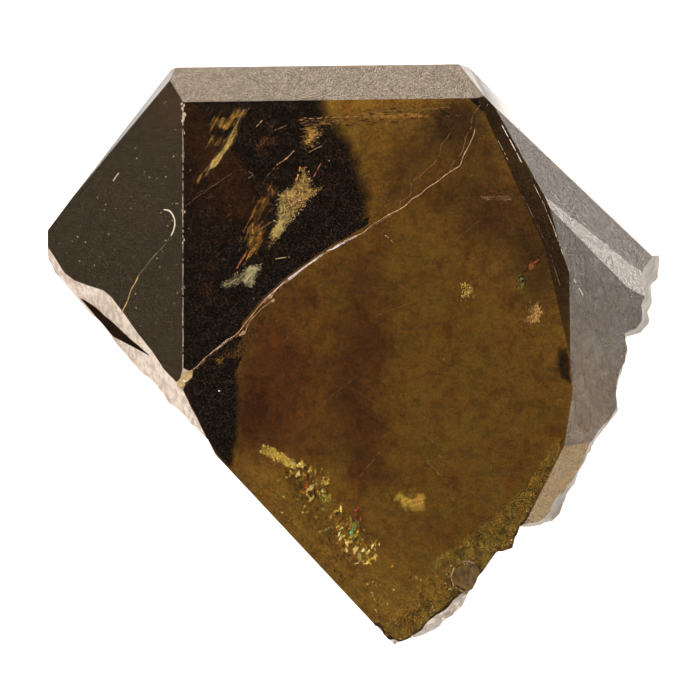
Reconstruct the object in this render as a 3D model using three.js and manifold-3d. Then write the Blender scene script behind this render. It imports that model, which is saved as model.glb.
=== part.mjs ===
// A single cassiterite crystal, broken off its matrix, lying on its flat back face.
// Units are millimetres. +X is the crystal's right, +Y its upper end and +Z points up, out of the big front face.
import * as THREE from "three";
import { mergeVertices } from "three/addons/utils/BufferGeometryUtils.js";
import Module from "manifold-3d";

const wasm = await Module();
wasm.setup();

// Driving dimensions
const THICKNESS = 15.5; // from the flat back to the big front face
const BLANK = 60; // the block that the faces are cut from
const GIRDLE_X = -14.15; // the blunt corner at the far left

// Front faces. Azimuth is the way a face looks in plan, tilt is its lean from lying flat.
const LEFT_FACE = { azimuth: 180, tilt: 42, at: [-7.8, 0, THICKNESS] };
const UPPER_FACE = { azimuth: 90.8, tilt: 28, at: [-7.8, 11.5, THICKNESS] };
const RIGHT_UPPER_FACE = { azimuth: 28.3, tilt: 40, at: [6.3, 11.5, THICKNESS] };
const RIGHT_FACE = { azimuth: 18, tilt: 29.7, at: [8.87, 6.39, THICKNESS] };
const RIGHT_LOWER_FACE = { azimuth: 4, tilt: 27, at: [9.9, 1.4, THICKNESS] };
const RIGHT_FOOT_FACE = { azimuth: -9, tilt: 30, at: [9.78, -4.05, THICKNESS] };
const RIGHT_TOE_FACE = { azimuth: -27, tilt: 34, at: [9.3, -5.2, THICKNESS] };
const RIDGE_FACE = { azimuth: 23.5, tilt: 35.3, at: [8.62, 7.13, THICKNESS] };
const LEFT_SHOULDER_FACE = { azimuth: 148.8, tilt: 74.4, at: [-8.4, 12.52, 14.96] };
const RIGHT_SHOULDER_FACE = { azimuth: 43.4, tilt: 77.4, at: [6.3, 11.5, THICKNESS] };
const EDGE_BEVEL_UPPER = { azimuth: 24, tilt: 9, at: [7.0, 8.9, THICKNESS] };
const EDGE_BEVEL_LOWER = { azimuth: 13, tilt: 8, at: [9.35, 2.6, THICKNESS] };

// Back faces, under the widest outline. A tilt over 90 looks downwards.
const GIRDLE_FACE = { azimuth: 180, tilt: 92, at: [GIRDLE_X, 5, 9] };
const LEFT_WALL_FACE = { azimuth: 139, tilt: 96, at: [-8.55, 12.65, 13] };
const RIGHT_WALL_FACE = { azimuth: 46.5, tilt: 95, at: [10.42, 8.06, 11] };
const BACK_LEFT_FACE = { azimuth: 180, tilt: 134, at: [GIRDLE_X, 5, 9.3] };
const BACK_UPPER_FACE = { azimuth: 97, tilt: 159, at: [0, 12.3, 2.6] };
const BACK_RIGHT_FACE = { azimuth: 41, tilt: 157, at: [10.0, 7.5, 3.0] };
const BACK_LOWER_FACE = { azimuth: 229, tilt: 156, at: [-2.6, -7.6, 1.7] };

// Steep side faces, each through two points of the outline, given in plan on the front face that it cuts.
// Lean is how far it draws in below that edge, in degrees.
const SIDE_FACES = [
  { under: UPPER_FACE, from: [4.81, 13.26], to: [-8.3, 13.11], lean: 5 },
  { under: null, from: [-6.42, -4.6], to: [1.82, -13.4], lean: 1.5 },
];

// The fresh break under the left edge: a steep, finely ribbed strip with the crystal drawn in below it.
const SPLINTER = { azimuth: 204, tilt: 61, at: [-7.8, -1.52, THICKNESS] };
const SPLINTER_RIM = [
  [-8.4, 0.03], [-7.8, 0.09], [-7.1, 0.13], [-6.6, 0.14], [-6.1, 0.03], [-5.8, -0.12], [-5.3, -0.25], [-4.6, -0.2],
  [-3.7, -0.15], [-2.7, -0.09], [-1.7, -0.01], [-0.7, 0.04], [0.4, 0.06], [1.2, 0.02], [2, -0.01], [2.9, 0],
  [3.8, -0.1],
];
const SPLINTER_RELIEF = 0.04;
const BELOW_SPLINTER = { azimuth: 223.1, tilt: 91.5, at: [-9.2, -1.63, THICKNESS] };
const BELOW_SPLINTER_RIM = [
  [-7.5, -0.34], [-7, -0.35], [-6.5, -0.25], [-6, -0.23], [-5.5, -0.17], [-5, -0.11], [-4.5, -0.09],
  [-4, -0.13], [-3.5, -0.16], [-3, -0.19], [-2.5, -0.24], [-2, -0.23], [-1.5, -0.13], [-1, -0.14],
  [-0.5, -0.14], [0, -0.07], [0.5, -0.08], [1, -0.08], [1.5, -0.26], [2, -0.29], [2.5, -0.2],
  [3, -0.23], [3.5, -0.2], [4, -0.11], [4.6, 0.05],
];

// The narrow broken lip under the lower right edge of the front face.
const LOWER_LIP = { azimuth: -49, tilt: 62, at: [4.95, -11.06, THICKNESS] };
const LOWER_LIP_RIM = [[-5, 0.0], [-2.2, 0.06], [-1.3, -0.1], [-0.2, -0.02], [0.6, 0.08], [1.7, -0.06], [3.2, 0.05]];
const LIP_RELIEF = 0.22;

// The large break on the right, where the crystal parted from its matrix.
// Its rim is given as distance along the break and how far it stands out from the straight line between its ends.
const BREAK_START = [14.0, 4.14];
const BREAK_END = [1.96, -13.25];
const BREAK_LEAN = 3;
const BREAK_RIM = [
  [-1.5, -0.29], [0, -0.19], [0.9, -0.27], [1.4, 0.46], [2, 0.69], [2.6, 1.14], [3.1, 1.04], [3.5, 0.69],
  [4.1, 1.33], [4.7, 1.55], [5.3, 1.58], [5.9, 1.9], [6.5, 2.38], [7.1, 2.44], [7.7, 2.29], [8.3, 2.24],
  [9, 2.3], [9.8, 2.51], [10.6, 2.56], [11.2, 2.46], [12.1, 2.43], [12.7, 2.49], [13.1, 2.24],
  [13.5, 1.72], [14, 1.74], [14.5, 2.12], [15, 1.58], [15.8, 1.52], [16.6, 1.48], [17.4, 1.56],
  [18.2, 1.65], [18.9, 1.43], [19.6, 1.14], [20.1, 0.85], [20.6, 0.58], [21.2, 0.2], [22.4, 0.1],
];
const BREAK_SHELL = 3.4; // the usual width of a shell-like hollow in the break
const BREAK_SHELL_DEPTH = 0.85;
const BREAK_STEP = 0.5; // grid spacing of the broken surface

// The old crack: a thin gap that meets the front face in a long uneven line and slopes down under the upper left.
// The line is given in plan on the front face, and the gap ends along the edge given on its right.
const CRACK_LINE = [
  [-7.8, -1.2], [-6.33, 0.09], [-5.18, 1.01], [-4.03, 2.39], [-2.88, 3.4], [-1.04, 4.69], [0.57, 5.61], [2.09, 6.53],
];
const CRACK_RIGHT_EDGE = [
  [0.59, -20], [0.59, 5.37], [0.85, 6.49], [0.94, 7.36], [0.85, 7.91], [0.53, 8.69], [-0.06, 9.97], [-1.16, 11.47],
  [-1.16, 20],
];
const CRACK_AZIMUTH = 129; // the way it slopes down, in plan
const CRACK_DIP = 42; // degrees down from level
const CRACK_WIDTH = 0.12; // measured level
const CRACK_REACH = 18; // how far it goes down its slope
const CRACK_MARGIN = 0.3; // it ends this far inside the outer faces
const CRACK_BREAK_MARGIN = 0.7; // and this far inside the breaks at the left edge

// Small bites out of the edges of the front face: centre, radius, turn of the facets
const CHIPS = [
  { at: [-7.7, -1.08, THICKNESS + 0.3], radius: 0.5, turn: 0.5 },
  { at: [-8.02, -1.5, THICKNESS + 0.1], radius: 0.4, turn: 1.3 },
  { at: [5.25, -10.35, THICKNESS + 0.55], radius: 1.0, turn: 0.9 },
  { at: [8.2, -8.2, THICKNESS + 0.35], radius: 0.7, turn: 0.2 },
  { at: [0.97, -12.98, THICKNESS - 0.3], radius: 0.55, round: 1 },
  { at: [1.7, -13.88, THICKNESS - 0.3], radius: 0.75, round: 1 },
  { at: [-9.1, -4.65, 14.2], radius: 2.3, round: 2 },
];

const radians = THREE.MathUtils.degToRad;

// The outward normal of a face from the way it looks and its lean.
function normalOf({ azimuth, tilt }) {
  const flat = Math.sin(radians(tilt));
  return new THREE.Vector3(
    flat * Math.cos(radians(azimuth)),
    flat * Math.sin(radians(azimuth)),
    Math.cos(radians(tilt)),
  );
}

// The height of a front face over a point in plan, or the top of the crystal where no face is named.
function heightOn(face, [x, y]) {
  if (!face) return THICKNESS;
  const normal = normalOf(face);
  const away = normal.x * (x - face.at[0]) + normal.y * (y - face.at[1]);
  return face.at[2] - away / normal.z;
}

// The plane of a steep side that holds the edge between two points and draws in below it.
function sidePlane({ under, from, to, lean }) {
  const start = new THREE.Vector3(...from, heightOn(under, from));
  const end = new THREE.Vector3(...to, heightOn(under, to));
  const edge = end.clone().sub(start).normalize();
  const outward = new THREE.Vector3(-edge.y, edge.x, 0).normalize().negate();
  const towardsMiddle = start.x * outward.x + start.y * outward.y < 0;
  if (towardsMiddle) outward.negate();
  const down = new THREE.Vector3().crossVectors(edge, outward).normalize();
  if (down.z > 0) down.negate();
  const normal = outward.multiplyScalar(Math.cos(radians(lean)));
  normal.addScaledVector(down, Math.sin(radians(lean)));
  return { normal: normal.normalize(), at: start };
}

function solidFrom(geometry) {
  const bare = geometry.index ? geometry.toNonIndexed() : geometry.clone();
  bare.deleteAttribute("normal");
  bare.deleteAttribute("uv");
  const merged = mergeVertices(bare, 1e-4);
  return new wasm.Manifold(
    new wasm.Mesh({
      numProp: 3,
      vertProperties: new Float32Array(merged.attributes.position.array),
      triVerts: new Uint32Array(merged.index.array),
    }),
  );
}

function geometryFrom(solid) {
  const mesh = solid.getMesh();
  const geometry = new THREE.BufferGeometry();
  geometry.setAttribute("position", new THREE.BufferAttribute(mesh.vertProperties, 3));
  geometry.setIndex(new THREE.BufferAttribute(mesh.triVerts, 1));
  return geometry;
}

// A block that fills everything outside one plane.
function outsideOf(normal, at) {
  const block = new THREE.BoxGeometry(BLANK * 2, BLANK * 2, BLANK * 2);
  block.translate(0, 0, BLANK);
  const turn = new THREE.Quaternion().setFromUnitVectors(new THREE.Vector3(0, 0, 1), normal);
  block.applyQuaternion(turn);
  block.translate(at.x, at.y, at.z);
  return solidFrom(block);
}

// A number from 0 to 1 that depends only on the two whole numbers given.
function scatter(i, j) {
  const value = Math.sin(i * 127.1 + j * 311.7) * 43758.5453;
  return value - Math.floor(value);
}

// Shell-like hollows that meet in sharp ridges: the lowest of one bowl for each cell near the point.
function shells(u, v, width, depth) {
  const column = Math.floor(u / width);
  const row = Math.floor(v / width);
  let lowest = Infinity;
  for (let i = column - 1; i <= column + 1; i++) {
    for (let j = row - 1; j <= row + 1; j++) {
      const du = u / width - i - scatter(i, j);
      const dv = v / width - j - scatter(j + 57, i);
      const bowl = 0.6 * scatter(i + 13, j + 29) + 1.3 * (du * du + dv * dv);
      lowest = Math.min(lowest, bowl);
    }
  }
  return lowest * depth;
}

// Straight lines between given points.
function along(points, u) {
  const next = points.findIndex(([at]) => at > u);
  if (next < 0) return points[points.length - 1][1];
  if (next === 0) return points[0][1];
  const [u0, w0] = points[next - 1];
  const [u1, w1] = points[next];
  return w0 + ((w1 - w0) * (u - u0)) / (u1 - u0);
}

// A block whose near side is a rough surface: relief(u, v) is how far that side stands out along the normal.
// u runs level along the surface and v up its slope, both from the point given.
function roughBlock({ normal, at, uRange, vRange, step, relief }) {
  const reach = 25;
  const uAxis = new THREE.Vector3(-normal.y, normal.x, 0).normalize();
  const vAxis = new THREE.Vector3().crossVectors(normal, uAxis).normalize();
  if (vAxis.z < 0) vAxis.negate();
  const columns = Math.round((uRange[1] - uRange[0]) / step);
  const rows = Math.round((vRange[1] - vRange[0]) / step);
  const place = (i, j, far) => {
    const u = uRange[0] + ((uRange[1] - uRange[0]) * i) / columns;
    const v = vRange[0] + ((vRange[1] - vRange[0]) * j) / rows;
    const point = at.clone().addScaledVector(uAxis, u).addScaledVector(vAxis, v);
    return point.addScaledVector(normal, far ? reach : relief(u, v, point.z));
  };
  const corners = [];
  const quad = (a, b, c, d) => corners.push(a, b, c, a, c, d);
  for (let i = 0; i < columns; i++) {
    for (let j = 0; j < rows; j++) {
      quad(place(i, j), place(i, j + 1), place(i + 1, j + 1), place(i + 1, j));
      quad(place(i, j, 1), place(i + 1, j, 1), place(i + 1, j + 1, 1), place(i, j + 1, 1));
    }
  }
  for (let i = 0; i < columns; i++) {
    quad(place(i, 0), place(i + 1, 0), place(i + 1, 0, 1), place(i, 0, 1));
    quad(place(i, rows), place(i, rows, 1), place(i + 1, rows, 1), place(i + 1, rows));
  }
  for (let j = 0; j < rows; j++) {
    quad(place(0, j), place(0, j, 1), place(0, j + 1, 1), place(0, j + 1));
    quad(place(columns, j), place(columns, j + 1), place(columns, j + 1, 1), place(columns, j, 1));
  }
  const geometry = new THREE.BufferGeometry().setFromPoints(corners);
  const block = solidFrom(geometry);
  if (block.volume() > 0) return block;
  for (let k = 0; k < corners.length; k += 3) [corners[k + 1], corners[k + 2]] = [corners[k + 2], corners[k + 1]];
  return solidFrom(new THREE.BufferGeometry().setFromPoints(corners));
}

// The crystal with all its flat faces, before any breakage. An inset draws in every face but the front one.
function facetedCrystal(inset = 0) {
  let solid = solidFrom(new THREE.BoxGeometry(BLANK, BLANK, THICKNESS).translate(0, 0, THICKNESS / 2 + inset));
  const faces = [
    LEFT_FACE, UPPER_FACE, RIGHT_UPPER_FACE, RIGHT_FACE, RIGHT_LOWER_FACE, RIGHT_FOOT_FACE,
    RIGHT_TOE_FACE, RIDGE_FACE,
    LEFT_SHOULDER_FACE, RIGHT_SHOULDER_FACE, LEFT_WALL_FACE, RIGHT_WALL_FACE,
    EDGE_BEVEL_UPPER, EDGE_BEVEL_LOWER,
    GIRDLE_FACE, BACK_LEFT_FACE, BACK_UPPER_FACE, BACK_RIGHT_FACE, BACK_LOWER_FACE,
  ];
  for (const face of faces) {
    const normal = normalOf(face);
    solid = solid.subtract(outsideOf(normal, new THREE.Vector3(...face.at).addScaledVector(normal, -inset)));
  }
  for (const side of SIDE_FACES) {
    const { normal, at } = sidePlane(side);
    solid = solid.subtract(outsideOf(normal, at.addScaledVector(normal, -inset)));
  }
  return solid;
}

// The gap of the old crack: its line in plan, swept down its slope and kept inside the crystal.
function oldCrack() {
  const away = [Math.cos(radians(CRACK_AZIMUTH)), Math.sin(radians(CRACK_AZIMUTH))];
  const edgeOf = (side) => CRACK_LINE.map(([x, y]) => {
    const half = (side * CRACK_WIDTH) / 2;
    return new THREE.Vector2(x + away[0] * half, y + away[1] * half);
  });
  const section = new THREE.Shape([...edgeOf(-1), ...edgeOf(1).reverse()]);
  const drop = CRACK_REACH * Math.sin(radians(CRACK_DIP));
  const slope = 1 / Math.tan(radians(CRACK_DIP));
  const sheet = new THREE.ExtrudeGeometry(section, { depth: drop + 1, bevelEnabled: false });
  sheet.translate(0, 0, THICKNESS - drop);
  const lean = new THREE.Matrix4().makeShear(0, 0, 0, 0, -away[0] * slope, -away[1] * slope);
  sheet.translate(0, 0, -THICKNESS).applyMatrix4(lean).translate(0, 0, THICKNESS);
  const leftOfEdge = [[-BLANK, -BLANK], ...CRACK_RIGHT_EDGE, [-BLANK, BLANK]];
  const plan = new THREE.ExtrudeGeometry(
    new THREE.Shape(leftOfEdge.map(([x, y]) => new THREE.Vector2(x, y))),
    { depth: BLANK, bevelEnabled: false },
  );
  let room = facetedCrystal(CRACK_MARGIN).intersect(solidFrom(plan));
  for (const face of [SPLINTER, BELOW_SPLINTER]) {
    const normal = normalOf(face);
    const at = new THREE.Vector3(...face.at).addScaledVector(normal, -CRACK_BREAK_MARGIN);
    room = room.subtract(outsideOf(normal, at));
  }
  return solidFrom(sheet).intersect(room);
}

// The large rough break on the right.
function matrixBreak() {
  const start = new THREE.Vector3(...BREAK_START, THICKNESS);
  const end = new THREE.Vector3(...BREAK_END, THICKNESS);
  const run = end.clone().sub(start);
  const length = run.length();
  const normal = new THREE.Vector3(-run.y, run.x, 0).normalize();
  normal.multiplyScalar(Math.cos(radians(BREAK_LEAN)));
  normal.z = -Math.sin(radians(BREAK_LEAN));
  const relief = (u, v) => {
    const fade = THREE.MathUtils.smoothstep(-v, 0.6, 4.0);
    return along(BREAK_RIM, length - u) + fade * (shells(u, v, BREAK_SHELL, BREAK_SHELL_DEPTH) - 0.35);
  };
  return roughBlock({
    normal, at: end, uRange: [-3, length + 3], vRange: [-18, 2], step: BREAK_STEP, relief,
  });
}

// A narrow ribbed break along one edge, following the rim given along it.
function lipBreak({ face, rim, uRange, depth, height = LIP_RELIEF }) {
  const ribs = (u, v) => along(rim, u) + height * (shells(u, v * 0.35, 1.1, 1) - 0.3);
  return roughBlock({
    normal: normalOf(face), at: new THREE.Vector3(...face.at),
    uRange, vRange: [-depth, 1.5], step: 0.5, relief: ribs,
  });
}

// A bite out of an edge, with flat facets unless it is given as round.
function chip({ at, radius, round = 0, turn = 0 }) {
  return solidFrom(new THREE.IcosahedronGeometry(radius, round).rotateZ(turn).rotateX(turn).translate(...at));
}

function brokenCrystal() {
  let solid = facetedCrystal();
  solid = solid.subtract(matrixBreak());
  const lips = [
    { face: SPLINTER, rim: SPLINTER_RIM, uRange: [-9, 9], depth: 8, height: SPLINTER_RELIEF },
    { face: BELOW_SPLINTER, rim: BELOW_SPLINTER_RIM, uRange: [-9, 5], depth: 17 },
    { face: LOWER_LIP, rim: LOWER_LIP_RIM, uRange: [-5, 5], depth: 8 },
  ];
  for (const lip of lips) solid = solid.subtract(lipBreak(lip));
  for (const bite of CHIPS) solid = solid.subtract(chip(bite));
  solid = solid.subtract(oldCrack());
  return solid.decompose().sort((a, b) => b.volume() - a.volume())[0];
}

const crystalGeometry = geometryFrom(brokenCrystal());
crystalGeometry.computeBoundingBox();
const middle = crystalGeometry.boundingBox.getCenter(new THREE.Vector3());

const crystal = new THREE.Mesh(
  crystalGeometry,
  new THREE.MeshStandardMaterial({
    color: new THREE.Color(0.3, 0.19, 0.05), roughness: 0.08, metalness: 0,
  }),
);
crystal.name = "cassiterite_crystal";
crystal.position.set(-middle.x, -middle.y, -crystalGeometry.boundingBox.min.z);

const specimen = new THREE.Group();
specimen.add(crystal);

export default specimen;
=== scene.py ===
import math
import random

import bmesh
import bpy
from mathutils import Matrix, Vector, noise
from mathutils.bvhtree import BVHTree


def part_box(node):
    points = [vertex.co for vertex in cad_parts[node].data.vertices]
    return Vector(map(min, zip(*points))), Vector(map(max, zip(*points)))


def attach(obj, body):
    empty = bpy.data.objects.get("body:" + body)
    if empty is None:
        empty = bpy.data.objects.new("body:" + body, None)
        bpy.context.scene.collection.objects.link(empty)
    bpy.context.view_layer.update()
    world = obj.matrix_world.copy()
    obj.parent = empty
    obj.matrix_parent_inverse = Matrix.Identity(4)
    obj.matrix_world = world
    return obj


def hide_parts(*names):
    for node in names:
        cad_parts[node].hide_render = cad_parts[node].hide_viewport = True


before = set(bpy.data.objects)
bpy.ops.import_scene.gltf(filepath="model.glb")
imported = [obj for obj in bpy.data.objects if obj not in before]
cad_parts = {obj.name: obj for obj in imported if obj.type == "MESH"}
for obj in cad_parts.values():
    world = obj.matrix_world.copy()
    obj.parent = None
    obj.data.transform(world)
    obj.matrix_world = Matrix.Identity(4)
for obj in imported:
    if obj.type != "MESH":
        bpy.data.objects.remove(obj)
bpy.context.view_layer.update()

MM = 0.001
TOP = 15.5  # height of the big front face over the back face, mm
CAMERA = (-0.158, 0.705)  # where the camera stands over the crystal, mm
CAMERA_RISE = 520.0  # from the front face up to the camera, mm
PICTURE_WIDTH = 32.2  # width of the view at the front face, mm

CLEAR_IOR = 2.0
NODE = "cassiterite_crystal"

scene = bpy.context.scene


def as_linear(red, green, blue):
    """A colour given in display values from 0 to 255, as linear light with alpha 1."""

    def channel(value):
        value /= 255
        return value / 12.92 if value <= 0.04045 else ((value + 0.055) / 1.055) ** 2.4

    return (channel(red), channel(green), channel(blue), 1.0)


class Nodes:
    """Shorthand for building one node tree."""

    def __init__(self, tree):
        self.tree = tree

    def add(self, kind, **settings):
        node = self.tree.nodes.new(kind)
        for name, value in settings.items():
            setattr(node, name, value)
        return node

    def set(self, socket, value):
        if isinstance(value, bpy.types.NodeSocket):
            self.tree.links.new(value, socket)
        else:
            socket.default_value = value

    def math(self, operation, first, second=0.0, third=0.0, clamp=False):
        node = self.add("ShaderNodeMath", operation=operation, use_clamp=clamp)
        self.set(node.inputs[0], first)
        self.set(node.inputs[1], second)
        self.set(node.inputs[2], third)
        return node.outputs[0]

    def vector(self, operation, first, second=(0, 0, 0), scale=None):
        node = self.add("ShaderNodeVectorMath", operation=operation)
        self.set(node.inputs[0], first)
        if scale is None:
            self.set(node.inputs[1], second)
        else:
            self.set(node.inputs["Scale"], scale)
        return node.outputs["Value" if operation in ("DOT_PRODUCT", "LENGTH") else "Vector"]

    def ramp(self, value, low, high, start=0.0, end=1.0):
        node = self.add("ShaderNodeMapRange", interpolation_type="SMOOTHSTEP")
        self.set(node.inputs["Value"], value)
        node.inputs["From Min"].default_value = low
        node.inputs["From Max"].default_value = high
        node.inputs["To Min"].default_value = start
        node.inputs["To Max"].default_value = end
        return node.outputs["Result"]

    def noise(self, position, scale, detail=3.0, rough=0.55, stretch=None):
        if stretch:
            position = self.vector("MULTIPLY", position, stretch)
        node = self.add("ShaderNodeTexNoise")
        self.set(node.inputs["Vector"], position)
        node.inputs["Scale"].default_value = scale
        node.inputs["Detail"].default_value = detail
        node.inputs["Roughness"].default_value = rough
        return node.outputs["Fac"]

    def mix(self, share, first, second, blend="MIX"):
        node = self.add("ShaderNodeMix", data_type="RGBA", blend_type=blend)
        self.set(node.inputs[0], share)
        self.set(node.inputs[6], first)
        self.set(node.inputs[7], second)
        return node.outputs[2]

    def position(self):
        """Where the point is on the object, in millimetres."""
        coordinates = self.add("ShaderNodeTexCoord")
        return self.vector("SCALE", coordinates.outputs["Object"], scale=1 / MM)

    def split(self, value):
        """The X, Y and Z of a vector."""
        node = self.add("ShaderNodeSeparateXYZ")
        self.set(node.inputs[0], value)
        return node.outputs

    def bump(self, shader, height, strength, distance):
        """Relief of this height on the shader, with its distance in millimetres."""
        node = self.add("ShaderNodeBump")
        node.inputs["Strength"].default_value = strength
        node.inputs["Distance"].default_value = distance * MM
        self.set(node.inputs["Height"], height)
        self.set(shader.inputs["Normal"], node.outputs["Normal"])

    def attribute(self, name, output="Fac"):
        return self.add("ShaderNodeAttribute", attribute_name=name).outputs[output]


def material(name, **values):
    """A principled material with these plain socket values, and its nodes."""
    made = bpy.data.materials.new(name)
    made.use_nodes = True
    surface = made.node_tree.nodes["Principled BSDF"]
    for socket, value in values.items():
        surface.inputs[socket.replace("_", " ")].default_value = value
    return made, Nodes(made.node_tree), surface


def mesh_of(name, bm):
    mesh = bpy.data.meshes.new(name)
    bm.to_mesh(mesh)
    bm.free()
    return mesh


def close_shell(bm, thickness):
    """Turns an open sheet into a closed shell, its thickness in millimetres."""
    bmesh.ops.solidify(bm, geom=list(bm.faces), thickness=thickness * MM)
    bmesh.ops.recalc_face_normals(bm, faces=bm.faces)


def span_of(corners):
    """The lowest and the highest x and y of an outline."""
    low = [min(c[i] for c in corners) for i in (0, 1)]
    high = [max(c[i] for c in corners) for i in (0, 1)]
    return low, high


def mesh_object(name, mesh):
    made = bpy.data.objects.new(name, mesh)
    scene.collection.objects.link(made)
    return made


def piece(name, mesh, surface):
    """A part of the crystal, which rides on its one body."""
    mesh.materials.append(surface)
    made = mesh_object(name, mesh)
    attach(made, "root")
    return made


camera_data = bpy.data.cameras.new("camera")
camera_data.sensor_width = 36
camera_data.lens = 36 * CAMERA_RISE / PICTURE_WIDTH
camera_data.clip_start = 0.01
camera_data.clip_end = 20
camera = bpy.data.objects.new("camera", camera_data)
camera.location = (CAMERA[0] * MM, CAMERA[1] * MM, (TOP + CAMERA_RISE) * MM)
scene.collection.objects.link(camera)
scene.camera = camera

# Soft lights around the crystal: the way each lies from it (azimuth and height in degrees), the half angles
# inside which it is full and outside which it is gone, its brightness and its colour.
LIGHTS = [
    (90, 36, 24, 40, 3.4, (1.0, 0.80, 0.60)),
    (28, 10, 8, 17, 2.35, (1.0, 0.90, 0.82)),
    (23, 19, 5, 9, 2.25, (1.0, 0.90, 0.80)),
    (5, 35, 17, 27, 1.85, (1.0, 0.88, 0.77)),
    (-30, 20, 8, 18, 2.3, (1.0, 0.78, 0.50)),
    (-90, 18, 20, 50, 0.5, (1.0, 0.96, 0.90)),
    (180, 2, 14, 36, 0.36, (1.0, 0.76, 0.42)),
    (225, 38, 14, 30, 4.8, (1.0, 0.93, 0.86)),
]
ROOM_LIGHT = (0.03, 0.028, 0.025)
SURROUND = 1.1  # brightness of the plain surround where the camera sees it


def build_world():
    world = bpy.data.worlds.new("studio")
    scene.world = world
    world.use_nodes = True
    tree = world.node_tree
    tree.nodes.clear()
    nodes = Nodes(tree)
    way = nodes.add("ShaderNodeTexCoord").outputs["Generated"]
    total = None
    for azimuth, height, inner, outer, strength, colour in LIGHTS:
        a, e = math.radians(azimuth), math.radians(height)
        towards = (math.cos(a) * math.cos(e), math.sin(a) * math.cos(e), math.sin(e))
        closeness = nodes.vector("DOT_PRODUCT", way, towards)
        share = nodes.ramp(closeness, math.cos(math.radians(outer)), math.cos(math.radians(inner)))
        light = nodes.vector("SCALE", tuple(c * strength for c in colour), scale=share)
        total = nodes.vector("ADD", total, light) if total else light
    total = nodes.vector("ADD", total, ROOM_LIGHT)
    lit = nodes.add("ShaderNodeBackground")
    nodes.set(lit.inputs["Color"], total)
    plain = nodes.add("ShaderNodeBackground")
    plain.inputs["Color"].default_value = (1, 1, 1, 1)
    plain.inputs["Strength"].default_value = SURROUND
    seen = nodes.add("ShaderNodeLightPath").outputs["Is Camera Ray"]
    both = nodes.add("ShaderNodeMixShader")
    nodes.set(both.inputs[0], seen)
    nodes.set(both.inputs[1], lit.outputs[0])
    nodes.set(both.inputs[2], plain.outputs[0])
    out = nodes.add("ShaderNodeOutputWorld")
    nodes.set(out.inputs["Surface"], both.outputs[0])


def build_floor():
    bm = bmesh.new()
    bmesh.ops.create_circle(bm, cap_ends=True, segments=96, radius=3.0)
    mesh = mesh_of("floor", bm)
    surface, nodes, shader = material("floor", Roughness=0.9, Emission_Strength=0.9)
    shader.inputs["Base Color"].default_value = (0.85, 0.85, 0.84, 1)
    shader.inputs["Emission Color"].default_value = (1, 0.99, 0.97, 1)
    mesh.materials.append(surface)
    floor = mesh_object("floor", mesh)
    floor.location = (0, 0, -0.00002)


build_world()
build_floor()


PLANE_TOLERANCE = 0.0015  # mm that a point may lie off the plane of its crystal face
FLAT_AREA = 1.2  # mm2; a level patch larger than this is a crystal face, anything else is broken
STEEP_FLAT_AREA = 3.5  # mm2; the same for steep patches
STEEP_RISE = 0.55  # upright share of the normal, below which a patch is steep
BREAK_CUTS = 3  # each edge of the broken surface is cut into this many more
RIB_HEIGHT = 0.1  # mm, how far the fine relief of the break stands in or out
STRIP_X = -5.6  # mm; left of this the break is a nearly straight narrow strip
STRIP_TOP = 6  # mm; above this y the strip ends
STRIP_CALM = 0.25  # share of the relief that the strip keeps
EDGE_WEAR = 0.03  # mm, the rounding along the sharp edges
# Faces by azimuth and tilt in degrees, each with an amount from 0 to 1.
ETCHED_FACES = {(18, 29.7): 1.0, (4, 27): 1.0, (-9, 30): 1.0}
GRAINY_FACES = {(28.3, 40): 0.4, (23.5, 35.3): 0.3, (90.8, 28): 0.15, (180, 42): 0.1}
# Faces whose colour is darkened by these amounts: painted shade, not the mineral's own colour.
PAINTED_SHADE_FACES = {
    (24, 9): 0.9, (13, 8): 0.9, (180, 42): 0.6, (18, 29.7): 0.85, (4, 27): 0.5, (-9, 30): 0.6,
    (28.3, 40): 0.5, (23.5, 35.3): 0.8,
}
GLARE_WHITE_FACES = {(148.8, 74.4): 1.0, (43.4, 77.4): 1.0}  # the steep narrow shoulders, under a near-white skin of painted glare


def level_patches(bm):
    """The crystal faces, as lists of mesh faces that lie in one plane."""
    waiting = set(bm.faces)
    patches = []
    for start in sorted(bm.faces, key=lambda f: -f.calc_area()):
        if start not in waiting:
            continue
        waiting.discard(start)
        normal, level = start.normal.copy(), start.normal.dot(start.verts[0].co)
        patch, edge_of_patch = [start], [start]
        while edge_of_patch:
            face = edge_of_patch.pop()
            for edge in face.edges:
                for other in edge.link_faces:
                    if other not in waiting:
                        continue
                    if all(abs(normal.dot(v.co) - level) < PLANE_TOLERANCE * MM for v in other.verts):
                        waiting.discard(other)
                        patch.append(other)
                        edge_of_patch.append(other)
        least = FLAT_AREA if normal.z > STEEP_RISE else STEEP_FLAT_AREA
        if sum(f.calc_area() for f in patch) > least * MM * MM:
            patches.append(patch)
    return patches


def lean_of(normal):
    """The azimuth and tilt of a face, in degrees."""
    azimuth = math.degrees(math.atan2(normal.y, normal.x))
    return azimuth, math.degrees(math.acos(max(-1.0, min(1.0, normal.z))))


def amount_for(normal, faces):
    """The amount given for the face that looks this way, or 0."""
    azimuth, tilt = lean_of(normal)
    for (a, t), amount in faces.items():
        if abs((azimuth - a + 180) % 360 - 180) < 2 and abs(tilt - t) < 1.5:
            return amount
    return 0.0


def relief(place):
    """The fine relief of the break at a place in millimetres, from about -1 to 1."""
    long_ribs = noise.noise(Vector((place.x * 0.9, place.y * 0.9, place.z * 0.35)) + Vector((3.1, 7.7, 1.9)))
    steps = abs(noise.noise(Vector((place.x * 1.3, place.y * 1.3, place.z * 1.9)) + Vector((11.3, 2.2, 5.1))))
    grain = noise.noise(place * 4.5 + Vector((2.5, 1.5, 0.5)))
    return max(-1.0, min(1.0, 1.1 * long_ribs + 1.6 * (steps - 0.2) + 0.35 * grain))


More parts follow.
